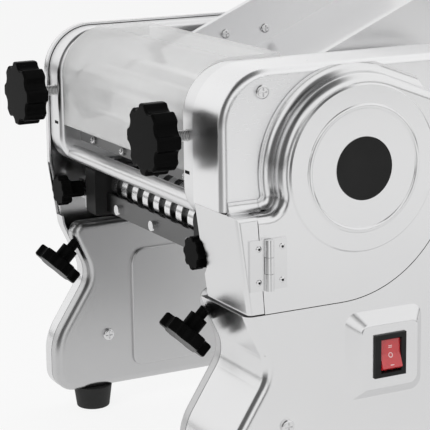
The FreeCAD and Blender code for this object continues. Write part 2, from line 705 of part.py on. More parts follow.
dome_middle = at(0, DOME_Y, DOME_Z)
fillet_reach = math.sqrt((DOME_R + DOOR_FILLET) ** 2 - (DOME_Z - POST_TOP - DOOR_FILLET) ** 2)
fillet_middle = at(0, DOME_Y - fillet_reach, POST_TOP + DOOR_FILLET)
fillet_low = fillet_middle - at(0, 0, DOOR_FILLET)
fillet_high = dome_middle + (fillet_middle - dome_middle) * (DOME_R / (DOME_R + DOOR_FILLET))
dome_top = dome_middle + at(0, 0, DOME_R)
door_corner = slope_meets_sweep(DOOR_SWEEP_R)
sweep_low = sweep_middle - at(0, 0, DOOR_SWEEP_R)
sweep_side = on_circle(sweep_middle, DOOR_SWEEP_R, -30.0)
seam_top = at(0, DOOR_SEAM_TOP, POST_TOP)
seam_low = at(0, DOOR_SEAM_LOW, DOOR_LOW)
door_edges = [
    line(seam_low, seam_top),
    line(seam_top, fillet_low),
    arc_between(fillet_middle, DOOR_FILLET, fillet_low, fillet_high),
    arc_between(dome_middle, DOME_R, fillet_high, dome_top),
    arc_between(dome_middle, DOME_R, dome_top, dome_end),
    line(dome_end, door_corner),
    arc_between(sweep_middle, DOOR_SWEEP_R, door_corner, sweep_side),
    arc_between(sweep_middle, DOOR_SWEEP_R, sweep_side, sweep_low),
    line(sweep_low, seam_low),
]
door_face = Part.Face(Part.Wire(Part.__sortEdges__(door_edges)))

# Gear cover door
door_open_x = SHELL_X + DOOR_WALL_CLEAR
flange_x = SHELL_X + FLANGE_LIFT
cove_x = flange_x + SHEET + COVE_R


def cove_face(wall, way):
    """Section of the drawn foot: a flat flange and a hollow rounding up to a wall at this radius."""
    inner = wall - way * SHEET
    toe = wall + way * COVE_R
    end = wall + way * COVE_FLANGE
    dip = COVE_R * math.sqrt(0.5)
    corners = [
        at(cove_x, 0, wall), at(cove_x, 0, inner), at(flange_x, 0, inner), at(flange_x, 0, end),
        at(flange_x + SHEET, 0, end), at(flange_x + SHEET, 0, toe)]
    edges = [line(start, stop) for start, stop in zip(corners, corners[1:])]
    hollow = Part.Arc(corners[-1], at(cove_x - dip, 0, toe - way * dip), corners[0])
    return Part.Face(Part.Wire(edges + [hollow.toShape()]))


def turned(shape, middle, degrees):
    """Shape made round the X axis, turned about it and set on middle."""
    made = shape.copy()
    made.Placement = FreeCAD.Placement(middle, FreeCAD.Rotation(X_AXIS, degrees))
    return made


fillet_turn = 90.0 + math.degrees(math.asin((dome_middle.z - fillet_middle.z) / (DOME_R + DOOR_FILLET)))
outer_cove = cove_face(DOME_R, 1.0)
dome_foot = outer_cove.revolve(at(0, 0, 0), X_AXIS, fillet_turn + DOOR_SLOPE)
slope_foot = outer_cove.extrude(at(0, (door_corner - dome_end).Length, 0))
fillet_foot = cove_face(DOOR_FILLET, -1.0).revolve(at(0, 0, 0), X_AXIS, fillet_turn)
foot = join(
    turned(dome_foot, dome_middle, -DOOR_SLOPE),
    turned(slope_foot, dome_middle, -DOOR_SLOPE),
    turned(fillet_foot, fillet_middle, 180.0))
foot_reach = block(
    flange_x, cove_x, HINGE_Y + 1.0, door_corner.y - 1.0, POST_TOP + 1.0, CASE_TOP - 1.0)
door_outer = plate_yz(door_face, door_open_x, DRIVE_X)
door_rim = [e for e in rim_edges(door_outer, DRIVE_X) if middle_of(e).z > DOOR_LOW + 0.1]
door_rim = [e for e in door_rim if middle_of(e).y > HINGE_Y or middle_of(e).z > POST_TOP - 0.1]
door_rim = [
    e for e in door_rim
    if abs((middle_of(e) - at(DRIVE_X, sweep_middle.y, sweep_middle.z)).Length - DOOR_SWEEP_R) > 0.1]
door_outer = join(door_outer.makeFillet(EDGE_ROUND, door_rim), foot.common(foot_reach))
deep_room = plate_yz(door_face.makeOffset2D(-SHEET), SHELL_X, DRIVE_X - EDGE_ROUND)
face_room = plate_yz(door_face.makeOffset2D(-EDGE_ROUND * 0.65), SHELL_X, DRIVE_X - SHEET)
door_hollow = join(deep_room, face_room)
seam_cut = join(
    block(
        door_open_x - 1, DRIVE_X - EDGE_ROUND, CASE_FRONT, HINGE_Y + 1.0, DOOR_LOW - 1, POST_TOP - SHEET),
    block(
        door_open_x - 1, DRIVE_X - SHEET, CASE_FRONT, HINGE_Y + 1.0, DOOR_LOW - 1,
        POST_TOP - EDGE_ROUND * 0.65))
belt_room = block(
    door_open_x - 1, PULLEY_X + PULLEY_WIDTH, BELT_Y - BELT_HALF, BELT_Y + BELT_HALF, DOOR_LOW - 1,
    DOOR_LOW + BELT_ROOM_TALL)
knuckle_groove = Part.makeCylinder(
    HINGE_KNUCKLE_R + SLIDE_CLEAR, HINGE_TALL + 2.0 * SLIDE_CLEAR,
    at(HINGE_X, HINGE_Y, HINGE_LOW - SLIDE_CLEAR), Z_AXIS)
sweep_trim = rod_x(
    DOOR_SWEEP_R + COVE_FLANGE, SHELL_X, DRIVE_X - SWEEP_RETURN, sweep_middle.y, sweep_middle.z)
sweep_trim = sweep_trim.cut(rod_x(
    DOOR_SWEEP_R - SHEET - 0.6, SHELL_X, DRIVE_X, sweep_middle.y, sweep_middle.z))
sweep_trim = sweep_trim.common(block(
    SHELL_X, DRIVE_X, sweep_middle.y, CASE_BACK, DOOR_LOW - 1.0, CASE_TOP))
door = door_outer.cut([door_hollow, seam_cut, belt_room, knuckle_groove, sweep_trim])
plateau = Part.makeCone(
    PLATEAU_R, PLATEAU_R - PLATEAU_RISE, PLATEAU_RISE, at(DRIVE_X, DOME_Y, DOME_Z), X_AXIS
)
ring_x = DRIVE_X + PLATEAU_RISE
ring = Part.makeTorus(RING_R, RING_WIDTH, at(ring_x - RING_WIDTH + RING_RISE, DOME_Y, DOME_Z), X_AXIS)
ring = ring.common(block(
    ring_x - 0.5, ring_x + RING_RISE + 1, DOME_Y - 60, DOME_Y + 60, DOME_Z - 60, DOME_Z + 60
))
door = join(door, plateau, ring)
save("gear_cover_door", door)
badge = Part.makeCylinder(BADGE_R, BADGE_THICK, at(ring_x, DOME_Y, DOME_Z), X_AXIS)
save("door_badge", badge.makeFillet(BADGE_THICK * 0.6, rim_edges(badge, ring_x + BADGE_THICK)))

# Upper shell of the drive side, with an opening behind the door
shell_corners = [(CASE_FRONT, FRAME_BOTTOM, SHOULDER_ROUND), (CASE_FRONT, CASE_TOP, CASE_CORNER)]
shell_face = rounded_face(both_ends(shell_corners))
upper_shell = pan(shell_face, RIM_X + SEAM, SHELL_X, SHEET, EDGE_ROUND - 1.0)
door_opening = plate_yz(door_face.makeOffset2D(-9.0), SHELL_X - 9.0, SHELL_X + 9.0)
shell_floor = block(
    RIM_X, SHELL_X - 12.0, CASE_FRONT + 10.0, CASE_BACK - 12.0, FRAME_BOTTOM - 1, FRAME_BOTTOM + 3
)
post_seat = block(
    RIM_X, SHELL_X + 1.0, CASE_FRONT - 1.0, DOOR_SEAM_TOP - DOOR_GAP + SEAM, FRAME_BOTTOM - 1.0,
    POST_TOP + SEAM)
upper_shell = upper_shell.cut([door_opening, shell_floor, post_seat])
save("right_upper_shell", pierced(upper_shell, right_shell_screws))

# Lower shell of the drive side: the leg, and the panel that closes the back of the drive housing
panel_r = DOOR_SWEEP_R + DOOR_GAP
panel_meet = slope_meets_sweep(panel_r)
panel_low = sweep_middle - at(0, 0, panel_r)
panel_side = on_circle(sweep_middle, panel_r, -30.0)
far_front = at(0, LEG_FOOT_Y - 60.0, panel_low.z)
far_back = panel_meet + slope_way * 200.0
far_top = CASE_TOP + 100.0
above_edges = [
    line(far_front, panel_low),
    arc_between(sweep_middle, panel_r, panel_low, panel_side),
    arc_between(sweep_middle, panel_r, panel_side, panel_meet),
    line(panel_meet, far_back),
    line(far_back, at(0, far_back.y, far_top)),
    line(at(0, far_back.y, far_top), at(0, far_front.y, far_top)),
    line(at(0, far_front.y, far_top), far_front),
]
above_face = Part.Face(Part.Wire(Part.__sortEdges__(above_edges)))


def drive_housing(inset, x0, x1):
    """The drive side's leg and back panel as a solid, shrunk by inset all round."""
    outline = violin_face.makeOffset2D(-inset) if inset else violin_face
    above = above_face.makeOffset2D(inset) if inset else above_face
    return plate_yz(outline, x0, x1).cut(plate_yz(above, x0 - 1, x1 + 1))


drive_leg = drive_housing(0.0, LEG_SPLIT_X + SEAM, DRIVE_X)
drive_rim = []
for edge in rim_edges(drive_leg, DRIVE_X):
    middle = middle_of(edge)
    from_sweep = math.hypot(middle.y - sweep_middle.y, middle.z - sweep_middle.z)
    if abs(from_sweep - panel_r) > 0.1 and abs(middle.z - panel_low.z) > 0.1:
        drive_rim.append(edge)
drive_leg = drive_leg.makeFillet(EDGE_ROUND, drive_rim)
deep_hollow = drive_housing(SHEET, LEG_SPLIT_X, DRIVE_X - EDGE_ROUND)
face_hollow = drive_housing(EDGE_ROUND * 0.65, LEG_SPLIT_X, DRIVE_X - SHEET)
leg_hollow = join(deep_hollow, face_hollow)
belt_way = block(
    LEG_SPLIT_X, DRIVE_X - SHEET, MID_Y - 95.0, MID_Y + 80.0, DOOR_LOW - 30.0, DOOR_LOW + 8.0
)
shell_seat = block(
    LEG_SPLIT_X, SHELL_X + SEAM, CASE_FRONT - 9, CASE_BACK + 9, FRAME_BOTTOM - SEAM, CASE_TOP
)
belt_side = block(
    LEG_SPLIT_X, PULLEY_X + PULLEY_WIDTH, BELT_Y - BELT_HALF, BELT_Y + BELT_HALF, DOOR_LOW,
    DOOR_LOW + BELT_ROOM_TALL
)
drive_leg = pierced(drive_leg.cut([leg_hollow, belt_way, belt_side, shell_seat]), right_leg_screws)

# Raised square round the switch
def square_wire(x, side, radius):
    half = side / 2.0
    corners = [
        (SWITCH_Y - half, SWITCH_Z - half, radius),
        (SWITCH_Y - half, SWITCH_Z + half, radius),
        (SWITCH_Y + half, SWITCH_Z + half, radius),
        (SWITCH_Y + half, SWITCH_Z - half, radius),
    ]
    wire = rounded_face(corners).OuterWire
    wire.translate(at(x, 0, 0))
    return wire


surround = Part.makeLoft(
    [square_wire(DRIVE_X - 0.5, SURROUND_SIDE, 9.0), square_wire(FACE_X, SURROUND_TOP, 6.0)], True
)
surround = surround.makeFillet(2.0, rim_edges(surround, FACE_X))
switch_hole = block(
    DRIVE_X - SWITCH_DEEP, FACE_X + 1, SWITCH_Y - SWITCH_WELL_WIDE / 2.0 - 3.0,
    SWITCH_Y + SWITCH_WELL_WIDE / 2.0 + 3.0,
    SWITCH_Z - SWITCH_WELL_TALL / 2.0 - 2.0, SWITCH_Z + SWITCH_WELL_TALL / 2.0 + 2.0)
save("right_lower_shell", join(drive_leg, surround).cut(switch_hole))

# Hinge post: the fixed front corner of the drive housing
post_corners = [
    (POST_FRONT_LOW, panel_low.z + 2.0 * SEAM, 0.0),
    (DOOR_SEAM_TOP - POST_WIDE_TOP, POST_TOP, 0.0),
    (DOOR_SEAM_TOP - DOOR_GAP, POST_TOP, 0.0),
    (DOOR_SEAM_LOW - DOOR_GAP, panel_low.z + 2.0 * SEAM, 0.0),
]
post_face = rounded_face(post_corners)
post = plate_yz(post_face, RIM_X + SEAM, DRIVE_X)
post_rim = [
    e for e in rim_edges(post, DRIVE_X)
    if middle_of(e).y < POST_FRONT_LOW - 2.0 or middle_of(e).z > POST_TOP - 0.1]
post = post.makeFillet(EDGE_ROUND / 2.0, post_rim)
post_hollow = plate_yz(post_face.makeOffset2D(-SHEET), RIM_X, DRIVE_X - SHEET)
post_open = block(
    RIM_X, DRIVE_X - SHEET, DOOR_SEAM_TOP - 6.0, HINGE_Y + 5.0, panel_low.z, POST_TOP - EDGE_ROUND / 2.0)
shell_room = block(
    RIM_X, SHELL_X + SEAM, DOOR_SEAM_TOP - DOOR_GAP, CASE_BACK, FRAME_BOTTOM - SEAM, CASE_TOP)
knob_room = rod_y(SMALL_KNOB_R + 4.0, CASE_FRONT - 9, CASE_FRONT + 30.0, SMALL_KNOB_X, SMALL_KNOB_Z)
post = post.cut([post_hollow, post_open, shell_room, knob_room, knuckle_groove])
cove_start = CASE_FRONT + EDGE_ROUND - 2.0
post_cove = cove_face(POST_TOP, 1.0).extrude(at(0, fillet_low.y - SLIDE_CLEAR - cove_start, 0))
post_cove.translate(at(0, cove_start, 0))
door_room = block(
    SHELL_X, DRIVE_X, DOOR_SEAM_TOP - DOOR_GAP, HINGE_Y + 9.0, POST_TOP - 9.0, POST_TOP + SLIDE_CLEAR)
save("hinge_post", join(post, post_cove.cut(door_room)))

# Butt hinge of the door
def knuckle(low, high):
    tube = Part.makeCylinder(HINGE_KNUCKLE_R, high - low, at(HINGE_X, HINGE_Y, low), Z_AXIS)
    return tube.cut(Part.makeCylinder(
        HINGE_PIN_R + RUN_CLEAR, high - low, at(HINGE_X, HINGE_Y, low), Z_AXIS
    ))


def leaf(y0, y1):
    plate = block(
        DRIVE_X, DRIVE_X + LEAF_THICK, min(y0, y1), max(y0, y1), HINGE_LOW, HINGE_LOW + HINGE_TALL
    )
    return plate.cut(Part.makeCylinder(
        HINGE_KNUCKLE_R + SLIDE_CLEAR, HINGE_TALL, at(HINGE_X, HINGE_Y, HINGE_LOW), Z_AXIS
    ))


def web(side, low, high):
    """The strip that rolls a leaf into its knuckle."""
    reach = side * (HINGE_KNUCKLE_R + 1.0)
    strip = block(
        DRIVE_X, DRIVE_X + LEAF_THICK, min(HINGE_Y, HINGE_Y + reach), max(HINGE_Y, HINGE_Y + reach),
        low, high)
    return strip.cut(Part.makeCylinder(
        HINGE_PIN_R + RUN_CLEAR, HINGE_TALL, at(HINGE_X, HINGE_Y, HINGE_LOW), Z_AXIS
    ))


def rivets(y):
    """Two domed rivet heads on a leaf."""
    heads = []
    for z in (HINGE_LOW + HINGE_TALL * 0.17, HINGE_LOW + HINGE_TALL * 0.83):
        ball = Part.makeSphere(
            RIVET_R * 1.3, at(DRIVE_X + LEAF_THICK + RIVET_TALL - RIVET_R * 1.3, y, z)
        )
        head = ball.common(block(
            DRIVE_X + LEAF_THICK - 0.2, DRIVE_X + 9.0, y - 9, y + 9, z - 9, z + 9))
        heads.append(head.cut(rod_x(
            RIVET_BORE_R, DRIVE_X + LEAF_THICK + RIVET_TALL * 0.2, DRIVE_X + 9.0, y, z)))
    return heads


split_low = HINGE_LOW + HINGE_TALL / 3.0
split_high = HINGE_LOW + HINGE_TALL * 2.0 / 3.0
hinge_top = HINGE_LOW + HINGE_TALL
fixed_leaf = join(
    leaf(HINGE_Y - LEAF_WIDE, HINGE_Y), knuckle(HINGE_LOW, split_low), web(-1, HINGE_LOW, split_low),
    knuckle(split_high, hinge_top), web(-1, split_high, hinge_top), *rivets(HINGE_Y - LEAF_WIDE * 0.53))
moving_leaf = join(
    leaf(HINGE_Y, HINGE_Y + LEAF_WIDE), knuckle(split_low + SLIDE_CLEAR, split_high - SLIDE_CLEAR),
    web(1, split_low + SLIDE_CLEAR, split_high - SLIDE_CLEAR), *rivets(HINGE_Y + LEAF_WIDE * 0.73))
save("hinge_fixed_leaf", fixed_leaf)
save("hinge_moving_leaf", moving_leaf)
save("hinge_pin", Part.makeCylinder(HINGE_PIN_R, HINGE_TALL, at(HINGE_X, HINGE_Y, HINGE_LOW), Z_AXIS))

# Rocker switch
bezel = block(
    FACE_X, FACE_X + BEZEL_THICK, SWITCH_Y - SWITCH_WIDE / 2.0, SWITCH_Y + SWITCH_WIDE / 2.0,
    SWITCH_Z - SWITCH_TALL / 2.0, SWITCH_Z + SWITCH_TALL / 2.0)
bezel = bezel.makeChamfer(0.8, rim_edges(bezel, FACE_X + BEZEL_THICK))
body_half = SWITCH_WELL_WIDE / 2.0 + 2.5
body_tall = SWITCH_WELL_TALL / 2.0 + 1.5
switch_body = block(
    FACE_X - SWITCH_DEEP, FACE_X, SWITCH_Y - body_half, SWITCH_Y + body_half, SWITCH_Z - body_tall,
    SWITCH_Z + body_tall)
well = block(
    FACE_X - 10.0, FACE_X + BEZEL_THICK + 1, SWITCH_Y - SWITCH_WELL_WIDE / 2.0,
    SWITCH_Y + SWITCH_WELL_WIDE / 2.0,
    SWITCH_Z - SWITCH_WELL_TALL / 2.0, SWITCH_Z + SWITCH_WELL_TALL / 2.0)
pin_reach = SWITCH_WELL_WIDE / 2.0 + ROCKER_PIN_END
pivot_bore = rod_y(
    ROCKER_PIN_R + RUN_CLEAR, SWITCH_Y - pin_reach, SWITCH_Y + pin_reach, ROCKER_PIVOT_X, SWITCH_Z)
save("switch_bezel", join(bezel, switch_body).cut([well, pivot_bore]))
rocker_half = SWITCH_WELL_WIDE / 2.0 - ROCKER_CLEAR


def rocker_point(degrees, side):
    """Point on the rounded upper or lower end of the rocker, this far above its pivot line."""
    angle = math.radians(degrees)
    return at(ROCKER_REACH * math.sin(angle), -rocker_half, side * ROCKER_REACH * math.cos(angle))


rocker_edges = []
for side in (-1.0, 1.0):
    lip = rocker_point(ROCKER_LIP_ANGLE, side)
    heel = rocker_point(-ROCKER_TIP - 6.0, side)
    rocker_edges.append(line(at(ROCKER_LIP - ROCKER_DIP, -rocker_half, 0), lip))
    rocker_edges.append(Part.Arc(lip, rocker_point(0.0, side), heel).toShape())
    rocker_edges.append(line(heel, at(heel.x - 1.0, -rocker_half, 0)))
rocker_face = Part.Face(Part.Wire(Part.__sortEdges__(rocker_edges)))
rocker = join(
    rocker_face.extrude(at(0, 2.0 * rocker_half, 0)),
    rod_y(ROCKER_PIN_R, -rocker_half - ROCKER_PIN_END, rocker_half + ROCKER_PIN_END, 0, 0))
rocker.Placement = FreeCAD.Placement(
    at(ROCKER_PIVOT_X, SWITCH_Y, SWITCH_Z), FreeCAD.Rotation(at(0, 1, 0), -ROCKER_TIP))
save("switch_rocker", rocker)

# Press rollers and their gears
rear_turn = 0.0
front_turn = mesh_turn(ROLLER_TEETH, rear_turn, 180.0, ROLLER_TEETH)
pinion_turn = mesh_turn(PINION_TEETH, rear_turn, PINION_ANGLE, ROLLER_TEETH)
idler_turn = mesh_turn(IDLER_TEETH, rear_turn, IDLER_ANGLE, ROLLER_TEETH)
cutter_turn = mesh_turn(CUTTER_TEETH, idler_turn, CUTTER_ANGLE, IDLER_TEETH)
bearing_end = INNER_X + BLOCK_LENGTH


def press_roller(y, drive_end):
    barrel = rod_x(ROLLER_R, -ROLLER_END, ROLLER_END, y, ROLLER_Z)
    barrel = barrel.makeChamfer(1.0, rim_edges(barrel, ROLLER_END) + rim_edges(barrel, -ROLLER_END))
    return join(barrel, rod_x(JOURNAL_R, -bearing_end, drive_end, y, ROLLER_Z))


rear_gear_end = PINION_X + GEAR_WIDTH
save("front_roller", press_roller(ROLLER_Y, GEAR_X + GEAR_WIDTH + 2.0))
save("rear_roller", press_roller(REAR_ROLLER_Y, rear_gear_end + 2.0))
journal_bore = JOURNAL_R + FIT_CLEAR
save(
    "front_roller_gear",
    gear(ROLLER_TEETH, front_turn, GEAR_X, GEAR_X + GEAR_WIDTH, ROLLER_Y, ROLLER_Z, journal_bore)
)
save(
    "rear_roller_gear",
    gear(ROLLER_TEETH, rear_turn, GEAR_X, rear_gear_end, REAR_ROLLER_Y, ROLLER_Z, journal_bore)
)


# Sliding blocks of the front roller and fixed bushes of the rear one
def sliding_block():
    web_part = block(
        INNER_X - 1.5, bearing_end, ROLLER_Y - BLOCK_HALF, ROLLER_Y + BLOCK_HALF,
        ROLLER_Z - BLOCK_HALF, ROLLER_Z + BLOCK_HALF)
    keeper = block(
        PLATE_X + SLIDE_CLEAR, bearing_end, ROLLER_Y - BLOCK_HALF, ROLLER_Y + BLOCK_HALF,
        ROLLER_Z - BLOCK_HALF - 4.0, ROLLER_Z + BLOCK_HALF + 4.0)
    bore = rod_x(JOURNAL_R + RUN_CLEAR, INNER_X - 3, bearing_end + 1, ROLLER_Y, ROLLER_Z)
    stud_seat = rod_y(
        STUD_R + RUN_CLEAR, ROLLER_Y - BLOCK_HALF - 1, ROLLER_Y - BLOCK_HALF + 6.0, STUD_X, ROLLER_Z
    )
    return join(web_part, keeper).cut([bore, stud_seat])


right_block = sliding_block()
save("front_bearing_blocks", Part.makeCompound([right_block, mirror_x(right_block)]))
bush = rod_x(BEARING_R, INNER_X - 1.5, PLATE_X, REAR_ROLLER_Y, ROLLER_Z)
bush = join(bush, rod_x(BEARING_R + 4.0, PLATE_X, bearing_end, REAR_ROLLER_Y, ROLLER_Z))
bush = bush.cut(rod_x(JOURNAL_R + RUN_CLEAR, INNER_X - 3, bearing_end + 1, REAR_ROLLER_Y, ROLLER_Z))
save("rear_bearing_bushes", Part.makeCompound([bush, mirror_x(bush)]))

# Counter shaft with pinion and belt pulley
save("counter_shaft", rod_x(COUNTER_R, INNER_X, DRIVE_X - SHEET - 1.0, COUNTER_Y, COUNTER_Z))
pinion = gear(
    PINION_TEETH, pinion_turn, PINION_X, PINION_X + GEAR_WIDTH, COUNTER_Y, COUNTER_Z,
    COUNTER_R + RUN_CLEAR
)
sleeve = rod_x(COUNTER_R + 3.0, PINION_X + GEAR_WIDTH, PULLEY_X, COUNTER_Y, COUNTER_Z)
sleeve = sleeve.cut(rod_x(COUNTER_R + RUN_CLEAR, PINION_X, PULLEY_X + 1, COUNTER_Y, COUNTER_Z))
save("counter_pinion", join(pinion, sleeve))


def pulley(radius, bore, y, z):
    """A flat belt pulley with two low flanges and a dished web."""
    wheel = rod_x(radius, PULLEY_X, PULLEY_X + PULLEY_WIDTH, y, z)
    flange_r = radius + BELT_THICK * 0.5
    near = rod_x(flange_r, PULLEY_X, PULLEY_X + PULLEY_FLANGE, y, z)
    far = rod_x(flange_r, PULLEY_X + PULLEY_WIDTH - PULLEY_FLANGE, PULLEY_X + PULLEY_WIDTH, y, z)
    return join(wheel, near, far).cut(rod_x(bore, PULLEY_X - 1, PULLEY_X + PULLEY_WIDTH + 1, y, z))


large_pulley = pulley(PULLEY_R, COUNTER_R + RUN_CLEAR, COUNTER_Y, COUNTER_Z)
dish_outer = rod_x(
    PULLEY_R - PULLEY_RIM * 2.0, PULLEY_X + PULLEY_WIDTH - 3.0, PULLEY_X + PULLEY_WIDTH + 1, COUNTER_Y,
    COUNTER_Z
)
dish_inner = rod_x(COUNTER_R + 7.0, PULLEY_X, PULLEY_X + PULLEY_WIDTH + 1, COUNTER_Y, COUNTER_Z)
save("large_pulley", large_pulley.cut(dish_outer.cut(dish_inner)))
save("motor_pulley", pulley(MOTOR_PULLEY_R, MOTOR_SHAFT_R + FIT_CLEAR, MOTOR_Y, MOTOR_Z))


# Belt round the two pulleys
def belt_loop(grow):
    """The outline round both pulleys, grown by the belt's clearance or thickness."""
    a = at(0, COUNTER_Y, COUNTER_Z)
    b = at(0, MOTOR_Y, MOTOR_Z)
    way = b - a
    distance = way.Length
    way.normalize()
    side = at(0, -way.z, way.y)
    lean = (PULLEY_R - MOTOR_PULLEY_R) / distance
    up = way * lean + side * math.sqrt(1.0 - lean * lean)
    down = way * lean - side * math.sqrt(1.0 - lean * lean)
    big = PULLEY_R + grow
    small = MOTOR_PULLEY_R + grow
    edges = [
        Part.Arc(a + up * big, a - way * big, a + down * big).toShape(),
        line(a + down * big, b + down * small),
        Part.Arc(b + down * small, b + way * small, b + up * small).toShape(),
        line(b + up * small, a + up * big),
    ]
    return Part.Face(Part.Wire(Part.__sortEdges__(edges)))


belt_x0 = PULLEY_X + PULLEY_FLANGE + BELT_CLEAR
belt_x1 = PULLEY_X + PULLEY_WIDTH - PULLEY_FLANGE - BELT_CLEAR
belt = plate_yz(belt_loop(BELT_CLEAR + BELT_THICK), belt_x0, belt_x1)
save("drive_belt", belt.cut(plate_yz(belt_loop(BELT_CLEAR), belt_x0 - 1, belt_x1 + 1)))

# Motor on the drive side's leg bracket
motor = rod_x(MOTOR_R, BRACKET_X, BRACKET_X + MOTOR_LENGTH, MOTOR_Y, MOTOR_Z)
motor = motor.makeFillet(5.0, rim_edges(motor, BRACKET_X + MOTOR_LENGTH))
vents = []
for i in range(12):
    angle = 2.0 * math.pi * i / 12.0
    vent_y = MOTOR_Y + MOTOR_R * 0.66 * math.cos(angle)
    vent_z = MOTOR_Z + MOTOR_R * 0.66 * math.sin(angle)
    vents.append(rod_x(
        3.0, BRACKET_X + MOTOR_LENGTH - 3.0, BRACKET_X + MOTOR_LENGTH + 1, vent_y, vent_z
    ))
nose = rod_x(MOTOR_R * 0.3, BRACKET_X + MOTOR_LENGTH, BRACKET_X + MOTOR_LENGTH + 4.0, MOTOR_Y, MOTOR_Z)
shaft_room = rod_x(MOTOR_SHAFT_R + RUN_CLEAR, BRACKET_X + 10.0, DRIVE_X, MOTOR_Y, MOTOR_Z)
save("motor", join(motor.cut(vents), nose).cut(shaft_room))
save("motor_shaft", rod_x(MOTOR_SHAFT_R, BRACKET_X + 11.0, PULLEY_X + PULLEY_WIDTH, MOTOR_Y, MOTOR_Z))

# Idler between the front roller and the cutter
save("idler_shaft", rod_x(COUNTER_R, INNER_X, GEAR_X + GEAR_WIDTH + 1.0, IDLER_Y, IDLER_Z))
save(
    "idler_gear",
    gear(IDLER_TEETH, idler_turn, GEAR_X, GEAR_X + GEAR_WIDTH, IDLER_Y, IDLER_Z, COUNTER_R + RUN_CLEAR)
)


# Noodle cutter rollers with interleaved rings, turned together by a pair of small gears on the plain side
PAIR_END = INNER_X - BLOCK_GAP + PAIR_WIDTH + SLIDE_CLEAR


def cutter_roller(y, start_with_ring, drive_end):
    core_r = CUTTER_R - CUTTER_GROOVE
    ring_count = int((2.0 * CUTTER_END - 4.0) / (CUTTER_PITCH / 2.0))
    span = ring_count * CUTTER_PITCH / 2.0
    pieces = [rod_x(CUTTER_SHAFT_R, -PAIR_END, drive_end, y, CUTTER_Z)]
    core = rod_x(core_r, -span / 2.0, span / 2.0, y, CUTTER_Z)
    for i in range(ring_count):
        if (i % 2 == 0) == start_with_ring:
            x0 = -span / 2.0 + i * CUTTER_PITCH / 2.0 + CUTTER_SIDE
            x1 = x0 + CUTTER_PITCH / 2.0 - 2.0 * CUTTER_SIDE
            pieces.append(rod_x(CUTTER_R, x0, x1, y, CUTTER_Z))
    return join(core, *pieces)


save("cutter_front_roller", cutter_roller(CUTTER_Y, True, INNER_X - BLOCK_GAP))
save("cutter_rear_roller", cutter_roller(CUTTER_BACK_Y, False, GEAR_X + GEAR_WIDTH + 1.0))
save("cutter_gear", gear(
    CUTTER_TEETH, cutter_turn, GEAR_X, GEAR_X + GEAR_WIDTH, CUTTER_BACK_Y, CUTTER_Z,
    CUTTER_SHAFT_R + FIT_CLEAR))


pair_module = CUTTER_SPACING / PAIR_TEETH
pair_start = -PAIR_END
for name, y, turn in (
    ("cutter_front_pair_gear", CUTTER_Y, 0.0),
    ("cutter_rear_pair_gear", CUTTER_BACK_Y, mesh_turn(PAIR_TEETH, 0.0, 0.0, PAIR_TEETH)),
):
    save(name, gear(
        PAIR_TEETH, turn, pair_start, pair_start + PAIR_WIDTH, y, CUTTER_Z, CUTTER_SHAFT_R + FIT_CLEAR,
        pair_module))


# Cutter end blocks, hung on pins
def end_block():
    piece = block(
        CUTTER_END, CUTTER_END + BLOCK_WIDE, BLOCK_FRONT, BLOCK_FRONT + BLOCK_DEPTH, BLOCK_LOW,
        BLOCK_TOP
    )
    upright = [e for e in piece.Edges if e.BoundBox.XLength > BLOCK_WIDE - 1.0]
    piece = piece.makeFillet(2.0, upright)
    bores = [
        rod_x(CUTTER_SHAFT_R + RUN_CLEAR, CUTTER_END - 1, INNER_X, y, CUTTER_Z) for y in (
            CUTTER_Y, CUTTER_BACK_Y
        )
    ]
    pin_hole = rod_x(CUTTER_PIN_R + FIT_CLEAR, CUTTER_END + 6.0, INNER_X, CUTTER_PIN_Y, CUTTER_PIN_Z)
    return piece.cut(bores + [pin_hole])


right_end = end_block()
save("cutter_end_blocks", Part.makeCompound([right_end, mirror_x(right_end)]))
pin = rod_x(CUTTER_PIN_R, CUTTER_END + 6.0, BRACKET_X, CUTTER_PIN_Y, CUTTER_PIN_Z)
save("cutter_pins", Part.makeCompound([pin, mirror_x(pin)]))
plate_front = BLOCK_FRONT + GUIDE_BEHIND
guide_low = BLOCK_LOW + GUIDE_UP
lip = block(
    -CUTTER_END, CUTTER_END, plate_front, plate_front + GUIDE_SHEET, guide_low,
    CUTTER_Z - GUIDE_UNDER)
floor = block(
    -CUTTER_END, CUTTER_END, plate_front, plate_front + GUIDE_DEEP, guide_low, guide_low + GUIDE_SHEET
)
save("cutter_guide_plate", join(lip, floor))
bolts = []
for x in (-CUTTER_END * 0.72, 0.0, CUTTER_END * 0.72):
    place = at(x, plate_front, guide_low + 1.5 * BOLT_R)
    bolts.append(Part.makeCylinder(BOLT_R, BOLT_TALL, place, Y_AXIS * -1.0))
save("guide_plate_bolts", Part.makeCompound(bolts))


# Gap knobs with their studs
def gap_knob(x):
    knob = lobed_knob(KNOB_R, KNOB_LOBES, KNOB_THICK, KNOB_EDGE)
    knob = join(knob, rod_y(KNOB_R * 0.42, KNOB_THICK, KNOB_THICK + KNOB_HUB, 0, 0))
    knob.translate(at(x, KNOB_FRONT, ROLLER_Z))
    return knob


def gap_stud(x):
    return rod_y(STUD_R, KNOB_FRONT + KNOB_THICK + KNOB_HUB, ROLLER_Y - BLOCK_HALF + STUD_IN, x, ROLLER_Z)


for side, sign in (("left", -1.0), ("right", 1.0)):
    save(side + "_gap_knob", gap_knob(sign * STUD_X))
    save(side + "_gap_stud", gap_stud(sign * STUD_X))


